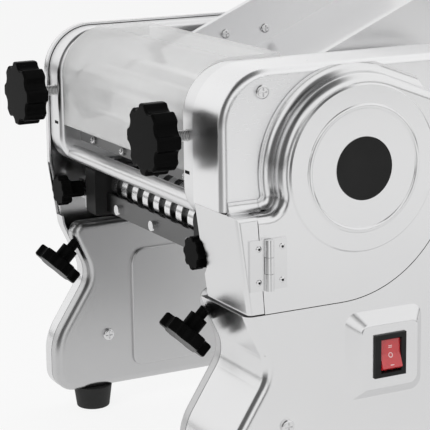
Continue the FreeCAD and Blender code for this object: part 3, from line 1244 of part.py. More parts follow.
# Small knobs that clamp the cutter
def small_knob(x):
    knob = lobed_knob(SMALL_KNOB_R, 8, SMALL_KNOB_THICK, 1.0)
    knob.translate(at(x, SMALL_KNOB_FRONT, SMALL_KNOB_Z))
    hub = rod_y(
        SMALL_KNOB_R * 0.55, SMALL_KNOB_FRONT + SMALL_KNOB_THICK, arm_front - 1.0, x, SMALL_KNOB_Z
    )
    stud = rod_y(SMALL_STUD_R, arm_front - 1.0, arm_front + 12.0, x, SMALL_KNOB_Z)
    return join(knob, hub, stud)


save("left_cutter_knob", small_knob(-SMALL_KNOB_X))
save("right_cutter_knob", small_knob(SMALL_KNOB_X))


# Tilted knobs on the legs
def leg_knob(x):
    knob = lobed_knob(LEG_KNOB_R, 6, LEG_KNOB_THICK, KNOB_EDGE)
    stem_end = LEG_KNOB_THICK + LEG_KNOB_STEM
    stem = rod_y(LEG_KNOB_STEM_R, LEG_KNOB_THICK, stem_end, 0, 0)
    stud = rod_y(STUD_R, stem_end, stem_end + LEG_KNOB_STUD, 0, 0)
    knob = join(knob, stem, stud)
    knob.rotate(at(0, 0, 0), X_AXIS, LEG_KNOB_TILT)
    knob.translate(at(x, LEG_KNOB_Y, LEG_KNOB_Z))
    return knob


save("left_leg_knob", leg_knob(-LEG_KNOB_X))
save("right_leg_knob", leg_knob(LEG_KNOB_X))

# Clear hood over the rollers
hood_x = INNER_X - HOOD_END
hood_corners = [
    (HOOD_FRONT, HOOD_LOW - 40.0, 0.0),
    (HOOD_FRONT, CASE_TOP, CASE_CORNER),
    (HOOD_BACK + 40.0, CASE_TOP, 0.0),
    (HOOD_BACK + 40.0, HOOD_LOW - 40.0, 0.0),
]
hood_face = rounded_face(hood_corners)
hood = plate_yz(hood_face, -hood_x, hood_x)
hood_room = plate_yz(hood_face.makeOffset2D(-HOOD_THICK), -hood_x - 1, hood_x + 1)
trim_low = block(-hood_x - 1, hood_x + 1, HOOD_FRONT - 1, HOOD_BACK + 60, HOOD_LOW - 60, HOOD_LOW)
trim_back = block(-hood_x - 1, hood_x + 1, HOOD_BACK, HOOD_BACK + 60, HOOD_LOW - 60, CASE_TOP + 1)
cheek_face = hood_face.makeOffset2D(-HOOD_THICK / 2.0).cut(hood_face.makeOffset2D(-CHEEK_DEEP))
cheeks = [
    plate_yz(cheek_face, hood_x - CHEEK_THICK, hood_x),
    plate_yz(cheek_face, -hood_x, -hood_x + CHEEK_THICK),
]
save("clear_hood", join(hood.cut(hood_room), *cheeks).cut([trim_low, trim_back]))

# Scraper under the front roller: a strip between the frames and a blade that leans to the roller
blade_tip = at(0, ROLLER_Y - GAP_TRAVEL - 1.0, ROLLER_Z - ROLLER_R - BLADE_GAP)
scraper_back = SCRAPER_FRONT + SCRAPER_DEEP
scraper_top = SCRAPER_LOW + SCRAPER_TALL
scraper_points = [
    at(0, SCRAPER_FRONT, SCRAPER_LOW),
    at(0, scraper_back, SCRAPER_LOW),
    at(0, scraper_back, scraper_top - BLADE_THICK),
    blade_tip,
    blade_tip - at(0, BLADE_THICK, 0),
    at(0, scraper_back - BLADE_THICK, scraper_top),
    at(0, SCRAPER_FRONT, scraper_top),
]
scraper_face = Part.Face(Part.makePolygon(scraper_points + scraper_points[:1]))
scraper_x = INNER_X - FIT_CLEAR
scraper = plate_yz(scraper_face, -scraper_x, scraper_x)
scraper_screws = []
scraper_holes = []
for i in range(4):
    x = scraper_x * (0.5 * i - 0.75)
    place = at(x, SCRAPER_FRONT, SCRAPER_LOW + SCRAPER_TALL / 2.0)
    scraper_screws.append(
        screw(place, Y_AXIS * -1.0, SMALL_SCREW_HEAD_R, SMALL_SCREW_R, SMALL_SCREW_LONG))
    scraper_holes.append(screw_hole(place, Y_AXIS * -1.0, SMALL_SCREW_R, SMALL_SCREW_LONG))
save("roller_scraper", scraper.cut(scraper_holes))
save("scraper_screws", Part.makeCompound(scraper_screws))

# Feed tray rising to the back, carried on the frames by spaced screws
tray_floor = block(-TRAY_HALF, TRAY_HALF, 0, TRAY_LENGTH, -TRAY_SHEET, 0)
tray_parts = []
for x0, x1, lip_x in (
    (-TRAY_HALF, -TRAY_HALF + TRAY_SHEET, -TRAY_HALF + TRAY_LIP),
    (TRAY_HALF - TRAY_SHEET, TRAY_HALF, TRAY_HALF - TRAY_LIP),
):
    tray_parts.append(block(x0, x1, 0, TRAY_LENGTH, -TRAY_SHEET, TRAY_WALL))
    tray_parts.append(block(
        min(x0, lip_x), max(x1, lip_x), TRAY_LIP_START, TRAY_LENGTH, TRAY_WALL - TRAY_SHEET, TRAY_WALL
    ))
tray = join(tray_floor, *tray_parts)
tray.rotate(at(0, 0, 0), X_AXIS, TRAY_SLOPE)
tray.translate(at(0, TRAY_START_Y, TRAY_START_Z))
tray_cuts = [rod_x(ROLLER_R + TRAY_ROLLER_CLEAR, -INNER_X, INNER_X, REAR_ROLLER_Y, ROLLER_Z)]
tray_cuts.append(block(-INNER_X, INNER_X, CASE_FRONT, HOOD_BACK + 4.0, ROLLER_Z, CASE_TOP))
tray_screws = []
tray_inside = TRAY_HALF - TRAY_SHEET
for y, z in tray_screw_places:
    for sign in (-1.0, 1.0):
        head = screw(
            at(sign * tray_inside, y, z), X_AXIS * -sign, TRAY_SCREW_HEAD_R, SCREW_R,
            PLATE_X - tray_inside)
        spacer = Part.makeCylinder(
            SCREW_R * 2.0, INNER_X - TRAY_HALF, at(sign * TRAY_HALF, y, z), X_AXIS * sign
        )
        tray_screws.append(join(head, spacer))
    tray_cuts.append(rod_x(SCREW_R + FIT_CLEAR, -TRAY_HALF - 1, TRAY_HALF + 1, y, z))
save("feed_tray", tray.cut(tray_cuts))
save("tray_screws", Part.makeCompound(tray_screws))

# Casing screws
casing_screws = []
for place, axis in right_shell_screws + left_shell_screws + right_leg_screws + left_leg_screws:
    casing_screws.append(screw(place, axis, SCREW_HEAD_R, SCREW_R, SCREW_SHANK))
save("casing_screws", Part.makeCompound(casing_screws))

print("origin", ORIGIN, "rear gear turn", rear_turn)
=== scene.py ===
# %% [markdown]
# # A pasta roller machine in a studio
# The CAD model gives every piece its true shape and place. This script adds what a drawing leaves
# out: finishes, printed marks, thread and light. Lengths are in metres, with the origin on the
# floor at the middle of the machine.

# %% Load the CAD frame
import json
import math

import bpy
from mathutils import Matrix, Vector


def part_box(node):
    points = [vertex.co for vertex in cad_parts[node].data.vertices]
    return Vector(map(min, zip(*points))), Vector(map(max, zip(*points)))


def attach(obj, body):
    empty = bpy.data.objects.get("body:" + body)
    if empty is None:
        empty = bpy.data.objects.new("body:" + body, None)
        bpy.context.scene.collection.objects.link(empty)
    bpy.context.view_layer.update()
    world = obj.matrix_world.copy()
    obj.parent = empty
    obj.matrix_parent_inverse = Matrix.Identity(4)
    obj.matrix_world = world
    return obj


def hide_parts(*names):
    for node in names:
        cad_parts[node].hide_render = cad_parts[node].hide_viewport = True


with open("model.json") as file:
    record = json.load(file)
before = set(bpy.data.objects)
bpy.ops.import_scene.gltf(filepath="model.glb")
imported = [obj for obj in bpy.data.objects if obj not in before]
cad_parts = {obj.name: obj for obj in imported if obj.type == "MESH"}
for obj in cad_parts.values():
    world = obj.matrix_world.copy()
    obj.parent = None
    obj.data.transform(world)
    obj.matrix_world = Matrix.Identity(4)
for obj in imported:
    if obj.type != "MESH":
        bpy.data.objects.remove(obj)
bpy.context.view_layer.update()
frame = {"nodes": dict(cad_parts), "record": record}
nodes = frame["nodes"]
scene = bpy.context.scene

# %% [markdown]
# ## A small shader language
# Shader maths reads best as arithmetic, but Blender wants a wired Math node for each sum. `Value`
# wraps a socket and makes those nodes by itself, so `1 - mask` or `noise * 0.2 + 0.1` can be
# written as they are.

# %% Values
class Value:
    """A shader socket that can be used in arithmetic."""

    def __init__(self, shader, socket):
        self.shader = shader
        self.socket = socket

    def maths(self, operation, first, second):
        return self.shader.node("ShaderNodeMath", {"operation": operation}, {0: first, 1: second})

    def __add__(self, other):
        return self.maths("ADD", self, other)

    def __radd__(self, other):
        return self.maths("ADD", other, self)

    def __sub__(self, other):
        return self.maths("SUBTRACT", self, other)

    def __rsub__(self, other):
        return self.maths("SUBTRACT", other, self)

    def __mul__(self, other):
        return self.maths("MULTIPLY", self, other)

    def __rmul__(self, other):
        return self.maths("MULTIPLY", other, self)

    def __pow__(self, other):
        return self.maths("POWER", self, other)

    def __rpow__(self, other):
        return self.maths("POWER", other, self)

    def __gt__(self, other):
        return self.maths("GREATER_THAN", self, other)

    def __lt__(self, other):
        return self.maths("LESS_THAN", self, other)


print("value operators: + - * ** > <")

# %% [markdown]
# Every other node comes from `Shader.node`, which takes the node's type, its settings and its
# inputs. The methods below it are the nodes that several finishes share.

# %% Node trees
class Shader:
    """A node tree that is built from the inside out."""

    def __init__(self, tree):
        self.tree = tree
        self.tree.nodes.clear()

    def node(self, kind, settings=None, inputs=None, output=0):
        made = self.tree.nodes.new(kind)
        for name, value in (settings or {}).items():
            setattr(made, name, value)
        for name, value in (inputs or {}).items():
            if isinstance(value, Value):
                self.tree.links.new(value.socket, made.inputs[name])
            else:
                made.inputs[name].default_value = value
        return Value(self, made.outputs[output]) if made.outputs else None

    def place(self):
        """The object's own coordinates, in metres."""
        return self.node("ShaderNodeTexCoord", output="Object")

    def vector(self, operation, first, second=(0, 0, 0), output="Vector"):
        inputs = {0: first, 1: second}
        return self.node("ShaderNodeVectorMath", {"operation": operation}, inputs, output)

    def length(self, vector):
        return self.vector("LENGTH", vector, output="Value")

    def part(self, vector, axis):
        return self.node("ShaderNodeSeparateXYZ", inputs={"Vector": vector}, output=axis)

    def noise(self, scale, stretch=(1, 1, 1), detail=3.0):
        scaled = self.vector("MULTIPLY", self.place(), stretch)
        inputs = {"Vector": scaled, "Scale": scale, "Detail": detail}
        return self.node("ShaderNodeTexNoise", inputs=inputs)

    def soft_step(self, value, start, stop):
        """0 up to start, 1 from stop on, and a soft change between them."""
        settings = {"interpolation_type": "SMOOTHSTEP"}
        inputs = {"Value": value, "From Min": start, "From Max": stop}
        return self.node("ShaderNodeMapRange", settings, inputs)

    def blend(self, factor, first, second):
        """The first colour at factor 0, the second at 1."""
        inputs = {"Factor": factor, "A": first, "B": second}
        return self.node("ShaderNodeMix", {"data_type": "RGBA"}, inputs, output="Result")

    def bump(self, height, strength, distance):
        inputs = {"Height": height, "Strength": strength, "Distance": distance}
        return self.node("ShaderNodeBump", inputs=inputs)

    def mixed(self, factor, first, second):
        """The first surface at factor 0, the second at 1."""
        return self.node("ShaderNodeMixShader", inputs={0: factor, 1: first, 2: second})


print("shared nodes: vectors, noise, soft steps, blends, bumps and mixes")

# %% [markdown]
# A finish is a function that returns the inputs of a Principled shader. `material` gives it a new
# node tree and wires the result to the output. A surface that needs more than one shader uses
# `surfaced` instead.

# %% Materials
def rgb(r, g, b):
    return (r, g, b, 1.0)


def grey(level):
    return rgb(level, level, level)


def surfaced(name, surface):
    """A material that shows the shader that surface(shader) makes."""
    made = bpy.data.materials.new(name)
    made.use_nodes = True
    shader = Shader(made.node_tree)
    shader.node("ShaderNodeOutputMaterial", inputs={"Surface": surface(shader)})
    return made


def material(name, paint):
    """A material whose Principled inputs come from paint(shader)."""
    def surface(shader):
        return shader.node("ShaderNodeBsdfPrincipled", inputs=paint(shader))
    return surfaced(name, surface)


print("mid grey:", grey(0.5))

# %% [markdown]
# ## Metals
# Stainless sheet is not one grey. It has a fine grain along the rolling direction and broad, faint
# clouds where it was polished. A picture of steel would stretch on the curves, so both are noise:
# the grain goes into the roughness and the bump, the clouds into the colour and the roughness.

# %% Steel recipe
GRAIN_SCALE, GRAIN_DETAIL, GRAIN_HEIGHT = 60.0, 4.0, 0.0004
CLOUD_SCALE = 9.0
ROUGH_SWING = 0.06


def steel(tone, rough, grain, depth):
    """Metal of this tone: grain stretches the noise, depth is the strength of its bump."""
    def paint(shader):
        lines = shader.noise(GRAIN_SCALE, grain, GRAIN_DETAIL)
        clouds = shader.noise(CLOUD_SCALE)
        dark = rgb(tone * 0.94, tone * 0.94, tone * 0.95)
        light = grey(min(1.0, tone * 1.04))
        return {
            "Base Color": shader.blend(clouds, dark, light),
            "Metallic": 1.0,
            "Roughness": lines * ROUGH_SWING + clouds * ROUGH_SWING + (rough - ROUGH_SWING),
            "Normal": shader.bump(lines, depth, GRAIN_HEIGHT),
        }
    return paint


print("steel swings by", ROUGH_SWING, "in roughness")

# %% [markdown]
# One recipe gives all the steels of the machine. Sheet that was polished after bending has a level
# grain, leg sheet an upright one, rollers a lengthwise one, and gears one that follows the lathe.
# The three numbers say how fast the grain changes along x, y and z: it runs along the smallest.

# %% Steel finishes
LEVEL_GRAIN = (1, 2, 40)
UPRIGHT_GRAIN = (1, 30, 2)
ROLLER_GRAIN = (2, 30, 30)
GEAR_GRAIN = (20, 4, 4)
SCREW_GRAIN = (10, 10, 10)
PLATE_GRAIN = (30, 1, 2)

ground_steel = steel(tone=0.88, rough=0.22, grain=ROLLER_GRAIN, depth=0.03)
polished = material("polished_steel", steel(tone=0.83, rough=0.22, grain=LEVEL_GRAIN, depth=0.02))
drawn = material("drawn_steel", steel(tone=0.92, rough=0.29, grain=LEVEL_GRAIN, depth=0.02))
satin = material("satin_steel", steel(tone=0.87, rough=0.30, grain=UPRIGHT_GRAIN, depth=0.06))
brushed = material("brushed_steel", steel(tone=0.64, rough=0.32, grain=UPRIGHT_GRAIN, depth=0.06))
roller = material("roller_steel", ground_steel)
machined = material("gear_steel", steel(tone=0.60, rough=0.33, grain=GEAR_GRAIN, depth=0.05))
bright = material("screw_steel", steel(tone=0.78, rough=0.18, grain=SCREW_GRAIN, depth=0.02))
# Painted shade: a darker copy of the satin steel for the scraper and the guide plate, which sit in
# shade under the hood.
shaded_satin = material("painted_shade_steel", steel(tone=0.18, rough=0.36, grain=PLATE_GRAIN, depth=0.06))
steels = (polished, drawn, satin, brushed, roller, machined, bright, shaded_satin)
print("steels:", [finish.name for finish in steels])

# %% [markdown]
# The grooves between the rings of the cutter rollers get painted shade: a darker grey than the
# rings.
# Faces could be picked one by one for two materials. It is simpler to let the colour follow the
# distance from the roller's own axis.

# %% Cutter finish
GROOVE_BELOW_RIM, RING_BELOW_RIM = 0.0012, 0.0004
# Painted shade: the grey of the grooves between the rings.
GROOVE_SHADE_GREY = 0.38


def cutter_material(node):
    low, high = (Vector(corner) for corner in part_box(node))
    axis = (low + high) * 0.5
    rim = (high.z - low.z) / 2

    def paint(shader):
        inputs = ground_steel(shader)
        from_axis = shader.vector("SUBTRACT", shader.place(), axis)
        radius = shader.length(shader.vector("MULTIPLY", from_axis, (0, 1, 1)))
        ring = shader.soft_step(radius, rim - GROOVE_BELOW_RIM, rim - RING_BELOW_RIM)
        # Painted shade in the grooves: darker towards the roller's axis.
        inputs["Base Color"] = shader.blend(ring, grey(GROOVE_SHADE_GREY), inputs["Base Color"])
        return inputs
    return material(node + "_steel", paint)


cutters = {node: cutter_material(node) for node in ("cutter_front_roller", "cutter_rear_roller")}
print("cutters:", sorted(cutters))

# %% [markdown]
# The gap studs get a cut thread further on. Its roots get painted shade and its crests a painted
# highlight, so here too the colour follows the distance from the axis.

# %% Thread finish
THREAD_PITCH = 0.00125
THREAD_DEPTH = 0.0007
STUD_RADIUS = 0.004


def thread_paint(shader):
    radius = shader.length(shader.vector("MULTIPLY", shader.place(), (1, 0, 1)))
    # Painted shade in the thread roots and painted highlight on the crests: darker towards the axis.
    crest = shader.soft_step(radius, STUD_RADIUS - THREAD_DEPTH, STUD_RADIUS)
    grain = shader.noise(80.0)
    return {
        "Base Color": shader.blend(crest, grey(0.30), grey(1.0)),
        "Metallic": 0.8,
        "Roughness": grain * 0.1 + 0.30,
    }


threaded = material("threaded_steel", thread_paint)
print("thread: pitch", THREAD_PITCH, "depth", THREAD_DEPTH)

# %% [markdown]
# The hinge is polished. The small hollows of its four rivets are not modelled, so their shade is
# painted: dark discs in the colour. Their places come from the pin and the width of a leaf.

# %% Hinge finish
HINGE_GRAIN = (10, 10, 2)
# Radius of the painted shade in each rivet hole.
HOLE_SHADE_RADIUS = 0.0009
FIXED_RIVETS, MOVING_RIVETS = 0.53, 0.73  # shares of a leaf's width, from the pin
RIVET_HEIGHTS = (0.17, 0.83)  # shares of the pin's height

pin_low, pin_high = (Vector(corner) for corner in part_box("hinge_pin"))
hinge_line = (pin_low.y + pin_high.y) / 2
leaf_width = hinge_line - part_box("hinge_fixed_leaf")[0][1]
rivet_ys = (hinge_line - leaf_width * FIXED_RIVETS, hinge_line + leaf_width * MOVING_RIVETS)
rivet_zs = [pin_low.z + (pin_high.z - pin_low.z) * share for share in RIVET_HEIGHTS]


def hinge_paint(shader):
    inputs = steel(tone=0.78, rough=0.16, grain=HINGE_GRAIN, depth=0.02)(shader)
    across, tall = shader.part(shader.place(), "Y"), shader.part(shader.place(), "Z")
    painted_hole_shade = 0.0
    for y in rivet_ys:
        for z in rivet_zs:
            reach = ((across - y) * (across - y) + (tall - z) * (tall - z)) ** 0.5
            painted_hole_shade = (reach < HOLE_SHADE_RADIUS) + painted_hole_shade
    # Painted shade: dark discs where the rivet holes are.
    inputs["Base Color"] = shader.blend(painted_hole_shade, inputs["Base Color"], grey(0.02))
    return inputs


hinge = material("hinge_steel", hinge_paint)
print("rivets at y", [round(y, 4) for y in rivet_ys], "z", [round(z, 4) for z in rivet_zs])

# %% [markdown]
# ## Plastics and rubber
# Black mouldings show almost only by their highlights, and an even black would look like a hole in
# the picture. A fine noise is the moulded texture, in the roughness and the bump. A broad one is
# wear, in the colour and the roughness. A low index of refraction keeps the glossy blacks deep. The
# cast skin of the bronze bushes is as dull as a moulding, so they share the recipe.

# %% Plastics
MOULDED_SCALE, MOULDED_SWING, MOULDED_HEIGHT = 900.0, 0.08, 0.0002
WEAR_SCALE, WEAR_SWING = 30.0, 0.06


def moulding(low, high, rough, depth=0.05, index=1.45):
    """A moulded finish between two colours: depth is the strength of its bump."""
    def paint(shader):
        speckle = shader.noise(MOULDED_SCALE)
        wear = shader.noise(WEAR_SCALE)
        return {
            "Base Color": shader.blend(wear, low, high),
            "Roughness": speckle * MOULDED_SWING + wear * WEAR_SWING + (rough - 0.07),
            "IOR": index,
            "Normal": shader.bump(speckle, depth, MOULDED_HEIGHT),
        }
    return paint


black = material("black_plastic", moulding(grey(0.002), grey(0.005), rough=0.24, index=1.08))
paint_black = material("black_paint", moulding(grey(0.012), grey(0.022), rough=0.38, index=1.2))
rubber = material("rubber", moulding(grey(0.012), grey(0.022), rough=0.62, depth=0.2))
bronze = material("bronze", moulding(rgb(0.50, 0.33, 0.16), rgb(0.62, 0.43, 0.22), rough=0.40))
print("mouldings:", black.name, paint_black.name, rubber.name, bronze.name)

# %% [markdown]
# The red rocker carries the usual off and on marks. A picture could hold them, but they are so
# plain that arithmetic on the rocker's own coordinates draws them sharply at any size: a ring in
# the middle, one stroke below and two strokes above. A clear coat gives the gloss.

# %% Rocker
RING_INNER, RING_OUTER = 0.0012, 0.0018
STROKE_REACH, STROKE_HALF_WIDTH = 0.0015, 0.0003
LOW_STROKE, FIRST_HIGH_STROKE, SECOND_HIGH_STROKE = -0.0066, 0.0054, 0.0066
MARK_STRENGTH = 0.8

rocker_low, rocker_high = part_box("switch_rocker")
rocker_middle = (Vector(rocker_low) + Vector(rocker_high)) * 0.5


def rocker_paint(shader):
    across = shader.part(shader.place(), "Y") - rocker_middle.y
    tall = shader.part(shader.place(), "Z") - rocker_middle.z
    radius = (across * across + tall * tall) ** 0.5
    ring = (radius > RING_INNER) * (radius < RING_OUTER)

    def stroke(z):
        beside = (across * across) ** 0.5
        above = ((tall - z) * (tall - z)) ** 0.5
        return (beside < STROKE_REACH) * (above < STROKE_HALF_WIDTH)

    marks = ring + stroke(LOW_STROKE) + stroke(FIRST_HIGH_STROKE) + stroke(SECOND_HIGH_STROKE)
    glow = shader.noise(120.0)
    tint = shader.blend(glow, rgb(0.42, 0.010, 0.014), rgb(0.58, 0.020, 0.028))
    return {
        "Base Color": shader.blend(marks * MARK_STRENGTH, tint, rgb(0.78, 0.62, 0.62)),
        "Roughness": glow * 0.08 + 0.16,
        "Specular IOR Level": 0.7,
        "Coat Weight": 0.8,
    }


red = material("red_plastic", rocker_paint)
print("rocker middle", [round(v, 4) for v in rocker_middle])

# %% [markdown]
# ## Clear hood
# The hood is a bent sheet of clear plastic over the rollers. Real refraction would only add noise
# in a sheet this thin, so two shaders are mixed: one is see-through, and the other is the shine
# and the faint haze that handling leaves.

# %% Clear plastic
def clear_surface(shader):
    haze = shader.noise(14.0)
    shine = shader.node("ShaderNodeBsdfPrincipled", inputs={
        "Base Color": shader.blend(haze, grey(0.80), grey(0.86)),
        "Roughness": haze * 0.05 + 0.05,
        "Specular IOR Level": 0.8,
    })
    through = shader.node("ShaderNodeBsdfTransparent", inputs={"Color": grey(0.97)})
    return shader.mixed(haze * 0.10 + 0.44, through, shine)


clear = surfaced("clear_plastic", clear_surface)
print("hood:", clear.name)

# %% [markdown]
# ## Finishes by slot
# The imported record names a material slot for each piece, and one table gives each slot its finish.
# A second table names the pieces with another finish than the rest of their slot, and some with
# painted shade: the darker scraper and guide plate, the cutter grooves and the hinge's rivet holes.

# %% Assign finishes
finishes = {
    "polished_steel": polished,
    "satin_steel": satin,
    "roller_steel": roller,
    "gear_steel": machined,
    "screw_steel": bright,
    "black_plastic": black,
    "red_plastic": red,
    "clear_plastic": clear,
    "rubber": rubber,
    "black_paint": paint_black,
    "bronze": bronze,
    "pulley_metal": machined,
}
own_finishes_and_painted_shade = {
    "right_upper_shell": drawn,
    "hinge_fixed_leaf": hinge,
    "hinge_moving_leaf": hinge,
    "hinge_pin": hinge,
    "left_inner_leg": brushed,
    "right_inner_leg": brushed,
    # Painted shade: these two get the darker copy of the satin steel.
    "roller_scraper": shaded_satin,
    "cutter_guide_plate": shaded_satin,
    "door_badge": paint_black,
    "switch_bezel": paint_black,
    **cutters,
}
for entry in frame["record"]["subparts"]:
    slots = nodes[entry["node"]].data.materials
    slots.clear()
    slots.append(own_finishes_and_painted_shade.get(entry["node"], finishes[entry["material_slot"]]))

# %% [markdown]
# ## Threaded studs
# The CAD studs are plain rods. A bump would leave their outline straight, so a mesh of rings takes
# the place of each: its radius rises and falls along a helix, as a cut thread's does. One turn of
# the knob moves the stud by one pitch.

# %% Thread form
RING_SIDES = 32
RINGS_PER_TURN = 8
CREST_OVERSHOOT = 1.25  # how far the sharp crest would stand out, before it is cut flat


def thread_radius(turns):
    """Triangle wave between root and crest, with the crest cut flat."""
    height = CREST_OVERSHOOT * abs(2.0 * (turns % 1.0) - 1.0)
    return STUD_RADIUS - THREAD_DEPTH * (1.0 - min(1.0, height))


def thread_points(length, rings):
    points = []
    for ring in range(rings + 1):
        along = length * ring / rings
        for step in range(RING_SIDES):
            angle = math.tau * step / RING_SIDES
            radius = thread_radius(along / THREAD_PITCH + step / RING_SIDES)
            x, z = radius * math.sin(angle), radius * math.cos(angle)
            points.append((x, along - length / 2, z))
    return points


def thread_faces(rings):
    near_end = tuple(reversed(range(RING_SIDES)))
    far_end = tuple(range(rings * RING_SIDES, (rings + 1) * RING_SIDES))
    faces = [near_end, far_end]
    for ring in range(rings):
        for step in range(RING_SIDES):
            here = ring * RING_SIDES + step
            beside = ring * RING_SIDES + (step + 1) % RING_SIDES
            faces.append((here, beside, beside + RING_SIDES, here + RING_SIDES))
    return faces


print("thread radius at root and crest:", thread_radius(0.5), thread_radius(0.0))

# %% [markdown]
# Each threaded stud takes its length and place from the rod that it replaces, and rides on the
# same screw, so it turns with its knob.

# %% Threads
def threaded_stud(side):
    low, high = (Vector(corner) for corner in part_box(side + "_gap_stud"))
    length = high.y - low.y
    rings = round(length / THREAD_PITCH * RINGS_PER_TURN)
    faces = thread_faces(rings)
    mesh = bpy.data.meshes.new(side + "_gap_thread")
    mesh.from_pydata(thread_points(length, rings), [], faces)
    mesh.materials.append(threaded)
    stud = bpy.data.objects.new(side + "_gap_thread", mesh)
    stud.location = (low + high) * 0.5
    scene.collection.objects.link(stud)
    bpy.context.view_layer.update()
    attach(stud, side + "_gap_screw")
    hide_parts(side + "_gap_stud")
    return len(faces)


print("thread faces:", [threaded_stud(side) for side in ("left", "right")])

# %% [markdown]
# ## Studio
# Polished steel shows its surroundings, so the room itself draws the picture. A plain white room
# would leave the steel flat, and a photograph of a studio would be a file to carry along, so this
# room is painted: light walls with a narrow dark gap at the machine's side and a wide one in front
# of it. The floor shows the same gaps further on.

# %% Dark gaps
SIDE_GAP = (-3, 12, 5)  # compass direction, outer and inner half width, in degrees
FRONT_GAP = (-85, 46, 24)


def compass(shader, place, degrees):
    """Cosine of the angle between a place's compass direction and this one."""
    flat = shader.vector("NORMALIZE", shader.vector("MULTIPLY", place, (1, 1, 0)))
    way = (math.cos(math.radians(degrees)), math.sin(math.radians(degrees)), 0)
    return shader.vector("DOT_PRODUCT", flat, way, output="Value")


def gap(shader, place, degrees, outer, inner):
    """1 in a dark gap of the room round this compass direction, 0 outside it."""
    limits = math.cos(math.radians(outer)), math.cos(math.radians(inner))
    return shader.soft_step(compass(shader, place, degrees), *limits)


print("gaps:", SIDE_GAP, FRONT_GAP)

# %% [markdown]
# The ceiling is dark in front and light behind, and the walls darken towards the horizon. Rounded
# edges sweep across all of it and turn it into crisp dark and light streaks. The camera itself
# sees plain white.

# %% World
CEILING_DARK, SIDE_DARK, FRONT_DARK = 0.9, 0.85, 0.92
HORIZON_LIGHT = 0.15
ROOM_STRENGTH = 0.95

world = bpy.data.worlds.new("studio")
scene.world = world
world.use_nodes = True
sky = Shader(world.node_tree)
direction = sky.node("ShaderNodeTexCoord", output="Generated")
height = sky.part(direction, "Z")
behind = sky.soft_step(sky.part(direction, "Y"), 0.15, 0.42)
overhead = 1.0 - sky.soft_step(height, 0.60, 0.85) * (1.0 - behind) * CEILING_DARK
horizon = sky.soft_step(height, -0.02, 0.08) * (1.0 - HORIZON_LIGHT) + HORIZON_LIGHT
low_wall = 1.0 - sky.soft_step(height, 0.1, 0.3)
side_gap = 1.0 - gap(sky, direction, *SIDE_GAP) * low_wall * SIDE_DARK
front_gap = 1.0 - gap(sky, direction, *FRONT_GAP) * FRONT_DARK
room = sky.blend(side_gap * front_gap * overhead * horizon, grey(0.05), grey(1.0))
lit = sky.node("ShaderNodeBackground", inputs={"Color": room, "Strength": ROOM_STRENGTH})
plain = sky.node("ShaderNodeBackground", inputs={"Color": grey(1.0), "Strength": 1.0})
seen = sky.node("ShaderNodeLightPath", output="Is Camera Ray")
sky.node("ShaderNodeOutputWorld", inputs={"Surface": sky.mixed(seen, lit, plain)})
print("world nodes:", len(world.node_tree.nodes))

# %% [markdown]
# Soft boxes light the plastics. A mirror would show them as hard white squares, so the steel
# doesn't mirror them: it has the room for that.

# %% Soft boxes
def softbox(name, place, target, size, power):
    lamp = bpy.data.lights.new(name, "AREA")
    lamp.shape = "RECTANGLE"
    lamp.size, lamp.size_y = size
    lamp.energy = power
    made = bpy.data.objects.new(name, lamp)
    scene.collection.objects.link(made)
    made.location = place
    made.rotation_euler = (Vector(target) - Vector(place)).to_track_quat("-Z", "Y").to_euler()
    made.visible_glossy = False
    print("soft box:", name, power, "W")


softbox("key", (0.6, -1.6, 0.9), target=(0, 0, 0.2), size=(1.0, 1.0), power=18.0)
softbox("side", (1.6, 0.5, 0.9), target=(0.1, 0, 0.2), size=(0.9, 1.2), power=4.0)
softbox("top", (-0.2, 0.1, 1.9), target=(0, 0, 0.2), size=(1.4, 1.0), power=3.0)

# %% [markdown]
# ## Floor
# The machine stands on a pale sheet that the camera sees as white, with the machine's soft shadow
# on it. The steel mirrors the sheet too. Seen in the steel it carries on the dark gaps of the
# walls, and it grows darker far away, where a real sheet would end.

# %% Floor finish
FLOOR_GAP_DARK, FAR_DARK = 0.85, 0.8
MIRROR_SHARE, CAMERA_SHARE = 0.9, 0.85


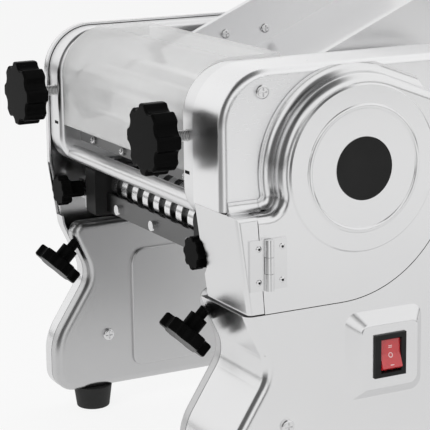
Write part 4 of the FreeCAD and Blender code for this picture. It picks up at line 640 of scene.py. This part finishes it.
def floor_surface(shader):
    pale = shader.blend(shader.noise(4.0), grey(0.80), grey(0.84))
    matte = shader.node("ShaderNodeBsdfDiffuse", inputs={"Color": pale})
    white = shader.node("ShaderNodeEmission", inputs={"Color": grey(1.0), "Strength": 1.0})
    camera_ray = shader.node("ShaderNodeLightPath", output="Is Camera Ray")
    mirror_ray = shader.node("ShaderNodeLightPath", output="Is Glossy Ray")
    spot = shader.place()
    distance = shader.length(spot)
    near = 1.0 - shader.soft_step(distance, 2.6, 3.6) * FAR_DARK
    cloudy = shader.noise(1.5) * 0.1 + shader.soft_step(distance, 0.5, 1.8) * 0.2 + 0.78
    away = shader.soft_step(distance, 0.6, 1.0)
    side = 1.0 - gap(shader, spot, *SIDE_GAP) * away * FLOOR_GAP_DARK
    front = 1.0 - gap(shader, spot, *FRONT_GAP) * away * FLOOR_GAP_DARK
    shade = shader.blend(side * front * near * cloudy, grey(0.03), grey(1.0))
    glow = shader.node("ShaderNodeEmission", inputs={"Color": shade})
    mirrored = shader.mixed(mirror_ray * MIRROR_SHARE, matte, glow)
    return shader.mixed(camera_ray * CAMERA_SHARE, mirrored, white)


floor_material = surfaced("floor", floor_surface)
print("floor nodes:", len(floor_material.node_tree.nodes))

# %% [markdown]
# One large square is enough for the sheet itself.

# %% Floor
FLOOR_REACH = 6.0

corners = [(x * FLOOR_REACH, y * FLOOR_REACH, 0) for x, y in ((-1, -1), (1, -1), (1, 1), (-1, 1))]
floor_mesh = bpy.data.meshes.new("floor")
floor_mesh.from_pydata(corners, [], [(0, 1, 2, 3)])
floor_mesh.materials.append(floor_material)
floor = bpy.data.objects.new("floor", floor_mesh)
scene.collection.objects.link(floor)
print("floor reaches", FLOOR_REACH, "m each way")

# %% [markdown]
# ## Camera
# The camera's place, turn and lens come from the photo, whose straight edges were fitted to the
# model's. A camera that is only aimed at the machine would miss the slight roll, so its three axes
# are worked out and set as a matrix.

# %% Camera
AZIMUTH, ELEVATION, ROLL = 1.0786, 0.2264, -0.0117
CAMERA_PLACE = (1.16233, -0.67462, 0.49557)

right = Vector((math.cos(AZIMUTH), math.sin(AZIMUTH), 0))
level = math.cos(ELEVATION)
back = Vector((math.sin(AZIMUTH) * level, -math.cos(AZIMUTH) * level, math.sin(ELEVATION)))
up = back.cross(right)
rolled_right = right * math.cos(ROLL) + up * math.sin(ROLL)
rolled_up = up * math.cos(ROLL) - right * math.sin(ROLL)
turn = Matrix((rolled_right, rolled_up, back)).transposed()

lens = bpy.data.cameras.new("camera")
lens.sensor_width = 36.0
lens.lens = 149.65
lens.shift_x = -0.0352
lens.shift_y = -0.0142
camera = bpy.data.objects.new("camera", lens)
scene.collection.objects.link(camera)
camera.matrix_world = Matrix.Translation(CAMERA_PLACE) @ turn.to_4x4()
scene.camera = camera
scene.view_settings.view_transform = "Standard"
print("camera at", [round(v, 3) for v in camera.matrix_world.translation])
